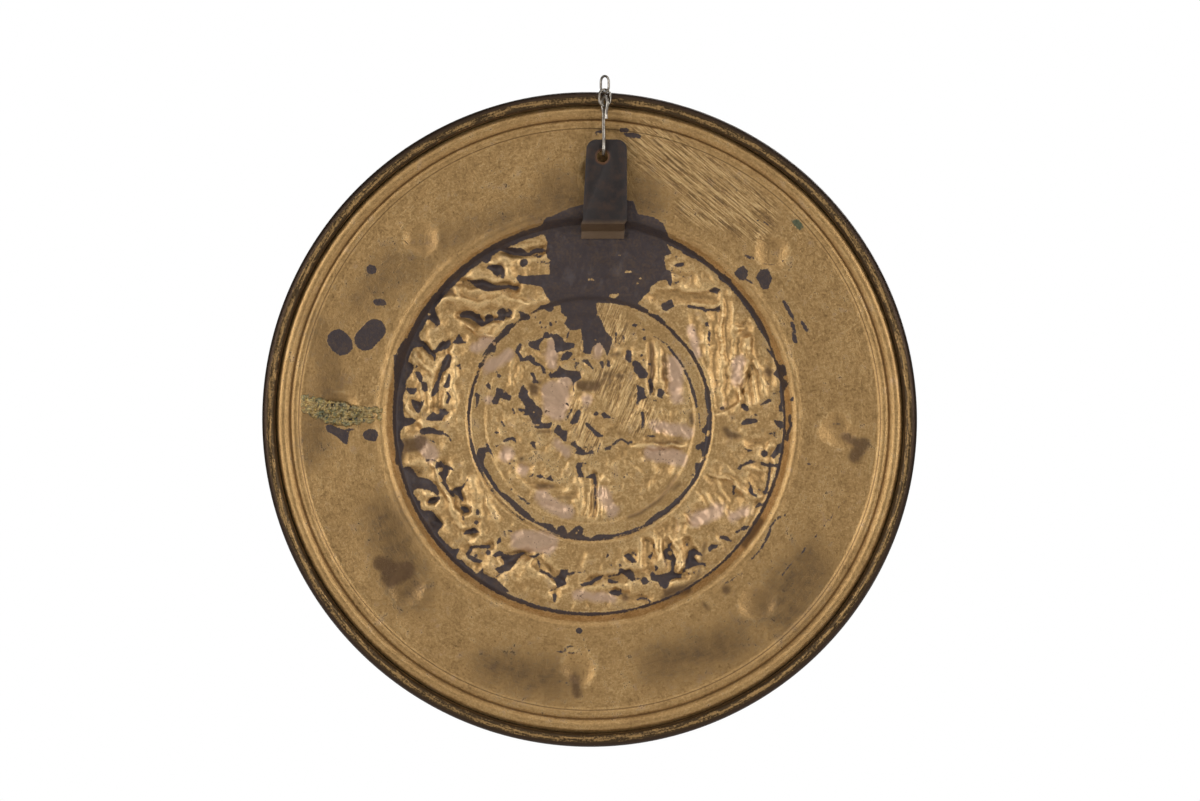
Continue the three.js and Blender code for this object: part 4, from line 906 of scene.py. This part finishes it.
    # residue, browner in places, over the metal of the back
    residueMask = addNode(tree, "ShaderNodeMapRange", {"interpolation_type": "SMOOTHSTEP"},
                          {"Value": value["edge"], "From Min": -0.2, "From Max": 0.3})
    residue = layered(linear(look["residue"]), (("specks", 0.85, 1.1, 1, "residueBrown"),))
    colour = back
    for amount, over in ((residueMask, residue), (value["front"], patina)):
        colour = addNode(tree, "ShaderNodeMix", {"data_type": "RGBA"}, {0: amount, 6: colour, 7: over}, out=2)

    covered = addNode(tree, "ShaderNodeMath", {"operation": "MAXIMUM"}, {0: residueMask, 1: value["front"]})
    metallic = addNode(tree, "ShaderNodeMapRange", None, {"Value": covered, "To Min": 0.8, "To Max": 0.25})
    roughness, rough = 0.26, 0
    for part, share in ((value["grain"], 0.35), (residueMask, 0.1)):
        roughness = addNode(tree, "ShaderNodeMath", {"operation": "MULTIPLY_ADD"},
                            {0: part, 1: share, 2: roughness})
    for part, share in ((value["fineGrain"], 1), (value["grain"], 1.6), (value["mottle"], 2),
                        (residueMask, 0.6), (value["streaks"], 0.5), (value["lines"], 1.2)):
        rough = addNode(tree, "ShaderNodeMath", {"operation": "MULTIPLY_ADD"}, {0: part, 1: share, 2: rough})
    bump = addNode(tree, "ShaderNodeBump", None, {"Strength": 0.8, "Distance": 0.16 * mm, "Height": rough})
    tree.links.new(colour, shader.inputs["Base Color"])
    tree.links.new(metallic, shader.inputs["Metallic"])
    tree.links.new(roughness, shader.inputs["Roughness"])
    tree.links.new(bump, shader.inputs["Normal"])
    return material


def finishPiece(piece, material, slot, *nodes):
    if material:
        piece.data.materials.clear()
        piece.data.materials.append(material)
    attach(piece, "root")
    if nodes:
        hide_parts(*nodes)


dishPiece = makeDish()
finishPiece(dishPiece, embossedBronze(), "bronze", "relief_dish")
print("dish finished")

# Strap

strap = {
    "hole": (8.6, 160.7), "holeRadius": 3.6, "rust": 5.2, "bevel": 0.28,
    "iron": "#2B2422", "brown": "#3B2B22", "rustColour": "#5E3D22", "edge": "#8A7C6E",
    "litFootColour": "#6A5239", "footTop": 121.5, "blotch": 6, "grain": 0.7,
}


# Blackened mild steel: a thin dark scale, dull, browner where it rusts; with rubbed above 0 a lighter edge
# colour is laid on, a painted highlight for the bevelled edges.
def blackenedSteel(name, rubbed):
    look = strap
    material, tree, shader = newMaterial(name)
    fromMiddle = fromDishMiddle(tree)
    parts = addNode(tree, "ShaderNodeSeparateXYZ", None, {0: fromMiddle}, out=2)
    blotch = addNode(tree, "ShaderNodeTexNoise", None,
                     {"Vector": fromMiddle, "Scale": perMetre(look["blotch"]), "Detail": 5, "Roughness": 0.6})
    grain = addNode(tree, "ShaderNodeTexNoise", None,
                    {"Vector": fromMiddle, "Scale": perMetre(look["grain"]), "Detail": 2, "Roughness": 0.6})
    brown = addNode(tree, "ShaderNodeMapRange", None, {"Value": blotch, "From Min": 0.45, "From Max": 0.7})
    colour = addNode(tree, "ShaderNodeMix", {"data_type": "RGBA"},
                     {0: brown, 6: linear(look["iron"]), 7: linear(look["brown"])}, out=2)

    holeX, holeZ = look["hole"]
    flat = addNode(tree, "ShaderNodeVectorMath", {"operation": "MULTIPLY"}, {0: fromMiddle, 1: (1, 0, 1)})
    fromHole = addNode(tree, "ShaderNodeVectorMath", {"operation": "DISTANCE"},
                       {0: flat, 1: (holeX * mm, 0, holeZ * mm)}, out=1)
    fromHole = addNode(tree, "ShaderNodeMath", {"operation": "MULTIPLY_ADD"},
                       {0: blotch, 1: 3 * mm, 2: fromHole})
    rust = addNode(tree, "ShaderNodeMapRange", None,
                   {"Value": fromHole, "From Min": (look["rust"] + 1.5) * mm, "From Max": look["rust"] * mm})
    colour = addNode(tree, "ShaderNodeMix", {"data_type": "RGBA"},
                     {0: rust, 6: colour, 7: linear(look["rustColour"])}, out=2)

    # painted light: the strap's foot below footTop turns a lighter brown
    foot = addNode(tree, "ShaderNodeMath", {"operation": "MULTIPLY_ADD"}, {0: blotch, 1: 5 * mm, 2: parts})
    foot = addNode(tree, "ShaderNodeMapRange", None,
                   {"Value": foot, "From Min": (look["footTop"] + 3.5) * mm, "From Max": look["footTop"] * mm,
                    "To Max": 0.7})
    colour = addNode(tree, "ShaderNodeMix", {"data_type": "RGBA"},
                     {0: foot, 6: colour, 7: linear(look["litFootColour"])}, out=2)
    # painted highlight: the lighter edge colour, by the given amount
    edge = addNode(tree, "ShaderNodeMapRange", None,
                   {"Value": blotch, "From Min": 0.42, "From Max": 0.62, "To Max": rubbed})
    colour = addNode(tree, "ShaderNodeMix", {"data_type": "RGBA"},
                     {0: edge, 6: colour, 7: linear(look["edge"])}, out=2)
    roughness = addNode(tree, "ShaderNodeMath", {"operation": "MULTIPLY_ADD"}, {0: blotch, 1: 0.35, 2: 0.32})
    rough = addNode(tree, "ShaderNodeMath", {"operation": "MULTIPLY_ADD"}, {0: blotch, 1: 2, 2: grain})
    bump = addNode(tree, "ShaderNodeBump", None, {"Strength": 0.5, "Distance": 0.08 * mm, "Height": rough})
    tree.links.new(colour, shader.inputs["Base Color"])
    tree.links.new(roughness, shader.inputs["Roughness"])
    tree.links.new(bump, shader.inputs["Normal"])
    shader.inputs["Metallic"].default_value = 0.35
    return material


def makeStrap():
    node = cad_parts["hanging_tab"]
    piece = node.copy()
    piece.data = node.data.copy()
    piece.data.materials.clear()
    piece.data.materials.append(blackenedSteel("blackenedSteel", 0))
    piece.data.materials.append(blackenedSteel("highlitSteelEdge", 0.8))
    piece.name = "strap"
    bpy.context.scene.collection.objects.link(piece)
    selectOnly(piece)
    bpy.ops.object.mode_set(mode="EDIT")
    bpy.ops.mesh.select_all(action="SELECT")
    bpy.ops.mesh.remove_doubles(threshold=0.00001)
    bpy.ops.mesh.dissolve_limited(angle_limit=math.radians(3))
    bpy.ops.object.mode_set(mode="OBJECT")
    bevel = piece.modifiers.new("edges", "BEVEL")
    bevel.width = strap["bevel"] * mm
    bevel.segments = 2
    bevel.angle_limit = math.radians(35)
    # the bevelled edges take the second material, with the painted highlight
    bevel.material = 1
    bpy.ops.object.modifier_apply(modifier="edges")
    bpy.ops.object.shade_smooth_by_angle(angle=math.radians(40))
    return piece


# Hook and chain

chain = {
    "x": 10.2, "y": -12.2, "wire": 1.1, "eyeTurn": -50, "strand": 1.3, "eye": 2.5,
    "linkWire": 0.75, "linkWidth": 8.5, "linkLength": 11.4, "lowerLink": (196.2, 20),
    "upperLink": (204.3, -45),
    "steel": "#A8A197", "dull": "#6E665C", "grain": 0.8, "blotch": 2.5,
}


# Zinc-plated drawn steel wire: grey and half bright, dulled in patches by a white-grey film.
def platedWire():
    look = chain
    material, tree, shader = newMaterial("platedWire")
    coordinates = addNode(tree, "ShaderNodeTexCoord", out=3)
    blotch = addNode(tree, "ShaderNodeTexNoise", None,
                     {"Vector": coordinates, "Scale": perMetre(look["blotch"]), "Detail": 4, "Roughness": 0.6})
    grain = addNode(tree, "ShaderNodeTexNoise", None,
                    {"Vector": coordinates, "Scale": perMetre(look["grain"]), "Detail": 2})
    dull = addNode(tree, "ShaderNodeMapRange", None, {"Value": blotch, "From Min": 0.42, "From Max": 0.62})
    colour = addNode(tree, "ShaderNodeMix", {"data_type": "RGBA"},
                     {0: dull, 6: linear(look["steel"]), 7: linear(look["dull"])}, out=2)
    roughness = addNode(tree, "ShaderNodeMapRange", None, {"Value": blotch, "To Min": 0.22, "To Max": 0.5})
    bump = addNode(tree, "ShaderNodeBump", None, {"Strength": 0.4, "Distance": 0.05 * mm, "Height": grain})
    tree.links.new(colour, shader.inputs["Base Color"])
    tree.links.new(roughness, shader.inputs["Roughness"])
    tree.links.new(bump, shader.inputs["Normal"])
    shader.inputs["Metallic"].default_value = 1
    return material


# A smooth curve through the points, spaced by the root of their distances.
def throughPoints(points, steps):
    points = [Vector(p) for p in points]
    points = [2 * points[0] - points[1]] + points + [2 * points[-1] - points[-2]]
    route = []
    for p0, p1, p2, p3 in zip(points, points[1:], points[2:], points[3:]):
        a, b, c = [max((q - p).length, 1e-6) ** 0.5 for p, q in ((p0, p1), (p1, p2), (p2, p3))]
        start = (p1 - p0) / a - (p2 - p0) / (a + b) + (p2 - p1) / b
        end = (p2 - p1) / b - (p3 - p1) / (b + c) + (p3 - p2) / c
        for i in range(steps):
            t = i / steps
            rise = 3 * t ** 2 - 2 * t ** 3
            h = (1 - rise, t ** 3 - 2 * t ** 2 + t, rise, t ** 3 - t ** 2)
            route.append(p1 * h[0] + start * b * h[1] + p2 * h[2] + end * b * h[3])
    return route + [points[-2]]


def wireAlong(name, route, radius, closed=False):
    curve = bpy.data.curves.new(name, "CURVE")
    curve.dimensions = "3D"
    spline = curve.splines.new("POLY")
    spline.points.add(len(route) - 1)
    for point, where in zip(spline.points, route):
        point.co = (*place(*where), 1)
    spline.use_cyclic_u = closed
    curve.bevel_depth = radius * mm
    curve.bevel_resolution = 4
    curve.use_fill_caps = True
    piece = bpy.data.objects.new(name, curve)
    bpy.context.scene.collection.objects.link(piece)
    selectOnly(piece)
    bpy.ops.object.convert(target="MESH")
    piece = bpy.context.object
    bpy.ops.object.mode_set(mode="EDIT")
    bpy.ops.mesh.select_all(action="SELECT")
    bpy.ops.mesh.remove_doubles(threshold=0.000005)
    bpy.ops.mesh.normals_make_consistent(inside=False)
    bpy.ops.object.mode_set(mode="OBJECT")
    bpy.ops.object.shade_smooth_by_angle(angle=math.radians(45))
    return piece


def makeHook():
    turn = math.radians(chain["eyeTurn"])

    def atSide(offset, z):
        return (chain["x"] + offset * math.cos(turn), chain["y"] + offset * math.sin(turn), z)
    strand, eye = chain["strand"], chain["eye"]
    shank = atSide(-strand, 181)
    points = [
        atSide(strand, 183.5), atSide(strand, 187.2), atSide(eye, 191.6), atSide(eye, 194), atSide(0, 196.8),
        atSide(-eye, 194), atSide(-eye, 191.6), atSide(-strand, 187.2), shank,
        (9.6, -9.8, 168), (9.4, -9.5, 164.4), (9.2, -7.2, 162.2), (9.2, -4.4, 163), (9.2, -3.6, 168),
    ]
    return wireAlong("hanging_hook", throughPoints(points, 8), chain["wire"])


def makeLink(name, middle, turn):
    radius = chain["linkWidth"] / 2 - chain["linkWire"]
    stretch = (chain["linkLength"] - chain["linkWidth"]) / 2
    c, s = math.cos(math.radians(turn)), math.sin(math.radians(turn))
    route = []
    for side in (1, -1):
        for i in range(17):
            a = math.radians(180 * i / 16 + (0 if side > 0 else 180))
            x, z = radius * math.cos(a), radius * math.sin(a) + side * stretch
            route.append((chain["x"] + x * c, chain["y"] + x * s, middle + z))
    return wireAlong(name, route, chain["linkWire"], closed=True)


# Brazed repair across the border at the left

seam = {
    "left": -177, "right": -126, "foot": 0.4, "sunk": 0.75, "top": -1.95, "spacing": 0.55,
    "filler": "#A08658", "yellow": "#B49A58", "green": "#6F7058", "dark": "#33281E", "pit": 1.5, "lump": 4,
}


# Brass filler, run in and left rough: yellowish lumps and pits with grey-green flux in them.
def brassFiller():
    look = seam
    material, tree, shader = newMaterial("brassFiller")
    coordinates = addNode(tree, "ShaderNodeTexCoord", out=3)
    lumps = addNode(tree, "ShaderNodeTexNoise", None,
                    {"Vector": coordinates, "Scale": perMetre(look["lump"]), "Detail": 4, "Roughness": 0.65})
    pits = addNode(tree, "ShaderNodeTexNoise", None,
                   {"Vector": coordinates, "Scale": perMetre(look["pit"]), "Detail": 3, "Roughness": 0.7})
    tone = addNode(tree, "ShaderNodeMapRange", None, {"Value": lumps, "From Min": 0.35, "From Max": 0.62})
    colour = addNode(tree, "ShaderNodeMix", {"data_type": "RGBA"},
                     {0: tone, 6: linear(look["green"]), 7: linear(look["filler"])}, out=2)
    yellow = addNode(tree, "ShaderNodeMapRange", None, {"Value": pits, "From Min": 0.52, "From Max": 0.66})
    colour = addNode(tree, "ShaderNodeMix", {"data_type": "RGBA"},
                     {0: yellow, 6: colour, 7: linear(look["yellow"])}, out=2)
    depth = addNode(tree, "ShaderNodeAttribute", {"attribute_name": "standing"}, out=2)
    dark = addNode(tree, "ShaderNodeMath", {"operation": "MULTIPLY_ADD"}, {0: pits, 1: 3, 2: depth})
    dark = addNode(tree, "ShaderNodeMapRange", None,
                   {"Value": dark, "From Min": 1.55, "From Max": 1.25})
    colour = addNode(tree, "ShaderNodeMix", {"data_type": "RGBA"},
                     {0: dark, 6: colour, 7: linear(look["dark"])}, out=2)
    metallic = addNode(tree, "ShaderNodeMapRange", None, {"Value": dark, "To Min": 0.75, "To Max": 0})
    bump = addNode(tree, "ShaderNodeBump", None, {"Strength": 0.8, "Distance": 0.2 * mm, "Height": pits})
    tree.links.new(colour, shader.inputs["Base Color"])
    tree.links.new(metallic, shader.inputs["Metallic"])
    tree.links.new(bump, shader.inputs["Normal"])
    shader.inputs["Roughness"].default_value = 0.5
    return material


# A soft unevenness of a given size in millimetres, from waves in set directions.
def unevenness(px, pz, size, seed):
    draw = np.random.default_rng(seed)
    total = np.zeros(px.shape)
    waves = 14
    for _ in range(waves):
        a, phase = draw.uniform(0, 2 * math.pi, 2)
        length = size * draw.uniform(0.7, 1.5)
        total += np.sin((px * math.cos(a) + pz * math.sin(a)) * 2 * math.pi / length + phase)
    return total / math.sqrt(waves)


def seamMiddle(t):
    return 11 - 7 * t - 4 * np.sin(math.pi * t)


def seamHalf(t):
    return 3.6 + 4.5 * np.sin(math.pi * np.minimum(1, 0.15 + t * 0.85))


def makeSeam():
    long = seam["right"] - seam["left"]
    wide = 16
    bpy.ops.mesh.primitive_grid_add(x_subdivisions=round(long / seam["spacing"]),
                                    y_subdivisions=round(wide / seam["spacing"]), size=2)
    piece = bpy.context.object
    piece.name = "brazed_seam"
    selectOnly(piece)
    bpy.ops.object.mode_set(mode="EDIT")
    bpy.ops.mesh.extrude_region_move(TRANSFORM_OT_translate={"value": (0, 0, 1)})
    bpy.ops.object.mode_set(mode="OBJECT")
    mesh = piece.data
    corners = np.empty(len(mesh.vertices) * 3)
    mesh.vertices.foreach_get("co", corners)
    u, v, top = corners.reshape(-1, 3).T
    t = (u + 1) / 2
    x = seam["left"] + t * long
    ragged = 0.8 * unevenness(x, v * 0.5, 4.5, 11) + 0.4 * unevenness(x, v * 0.5, 2, 12)
    z = seamMiddle(t) + v * (seamHalf(t) - 0.6) + ragged * np.abs(v) ** 2 * 0.8
    edge = np.clip(1 - np.maximum(np.abs(v), np.abs(u)) ** 6, 0, 1)
    bulge = 0.35 + 0.65 * np.exp(-((x + 152) / 17) ** 2)
    rough = 0.45 * unevenness(x, z, 5, 13) + 0.3 * unevenness(x, z, 2.2, 14) + 0.16 * unevenness(x, z, 1.2, 15)
    height = edge ** 0.5 * (bulge + rough * 0.8)
    sheetLine = np.interp(np.hypot(x, z), lineRadii, lineDepths)
    foot = sheetLine + sampled(dishField["height"], x, z) + seam["foot"]
    y = np.where(top > 0.5, sheetLine - seam["sunk"] + seam["top"] * height, foot)
    y = np.minimum(y, foot)
    moved = np.stack([x, y, z], 1) * mm + np.array(dishMiddle)
    mesh.vertices.foreach_set("co", moved.ravel())
    setField(piece, "standing", np.where(top > 0.5, edge ** 0.5 * (0.5 + rough), 0))
    mesh.update()
    bpy.ops.object.mode_set(mode="EDIT")
    bpy.ops.mesh.select_all(action="SELECT")
    bpy.ops.mesh.normals_make_consistent(inside=False)
    bpy.ops.object.mode_set(mode="OBJECT")
    bpy.ops.object.shade_smooth_by_angle(angle=math.radians(60))
    return piece


finishPiece(makeStrap(), None, "strap_iron", "hanging_tab")
wireMetal = platedWire()
finishPiece(makeHook(), wireMetal, "hook_steel", "wire_hook")
finishPiece(makeLink("lower_link", *chain["lowerLink"]), wireMetal, "chain_steel", "chain_link_lower")
finishPiece(makeLink("upper_link", *chain["upperLink"]), wireMetal, "chain_steel", "chain_link_upper")
finishPiece(makeSeam(), brassFiller(), "bronze")
print("strap, hook, links and seam finished")


# Camera, light and floor

picture = {"width": 1200, "height": 801, "scale": 0.61, "middleX": 588.5, "middleY": 420.45}
view = {"turn": 2.2, "rise": 2.0, "distance": 2.3}


def makeCamera():
    camera = bpy.data.objects.new("camera", bpy.data.cameras.new("camera"))
    bpy.context.scene.collection.objects.link(camera)
    aim = place((picture["width"] / 2 - picture["middleX"]) * picture["scale"], -5,
                (picture["middleY"] - picture["height"] / 2) * picture["scale"])
    turn, rise = math.radians(view["turn"]), math.radians(view["rise"])
    away = Vector((math.sin(turn) * math.cos(rise), -math.cos(turn) * math.cos(rise), math.sin(rise)))
    camera.location = aim + away * view["distance"]
    camera.rotation_euler = (-away).to_track_quat("-Z", "Y").to_euler()
    camera.data.sensor_width = 36
    camera.data.lens = 36 * view["distance"] / (picture["width"] * picture["scale"] * mm)
    camera.data.clip_end = 50
    bpy.context.scene.camera = camera


lamps = {
    "left": {"from": (-1.5, -1.3, 0.3), "size": 0.9, "power": 19},
    "right": {"from": (1.5, -1.3, 0.35), "size": 0.9, "power": 18},
    "above": {"from": (0.0, -1.0, 1.5), "size": 1.2, "power": 8},
    "behind": {"from": (0.6, 1.8, 1.0), "size": 1.6, "power": 30},
}


def makeLights():
    for name, lamp in lamps.items():
        light = bpy.data.lights.new(name, "AREA")
        light.size = lamp["size"]
        light.energy = lamp["power"]
        lampObject = bpy.data.objects.new(name, light)
        bpy.context.scene.collection.objects.link(lampObject)
        lampObject.location = dishMiddle + Vector(lamp["from"])
        lampObject.rotation_euler = (dishMiddle - lampObject.location).to_track_quat("-Z", "Y").to_euler()

    # The paper behind is white to the eye, and its own light on the metal is weaker.
    world = bpy.data.worlds.new("studio")
    bpy.context.scene.world = world
    world.use_nodes = True
    tree = world.node_tree
    background = tree.nodes["Background"]
    seen = addNode(tree, "ShaderNodeLightPath")
    strength = addNode(tree, "ShaderNodeMapRange", None, {"Value": seen, "To Min": 0.12, "To Max": 1.0})
    tree.links.new(strength, background.inputs["Strength"])
    background.inputs["Color"].default_value = (1, 1, 1, 1)


def makeFloor():
    bpy.ops.mesh.primitive_circle_add(vertices=96, radius=1.4, fill_type="NGON",
                                      location=(dishMiddle.x, dishMiddle.y, dishMiddle.z - 0.45))
    floor = bpy.context.object
    floor.name = "floor"
    material, tree, shader = newMaterial("paleFloor")
    shader.inputs["Base Color"].default_value = linear("#F2F1EF")
    shader.inputs["Roughness"].default_value = 0.8
    floor.data.materials.append(material)


makeCamera()
makeLights()
makeFloor()
bpy.context.scene.view_settings.view_transform = "Standard"
print("studio ready")
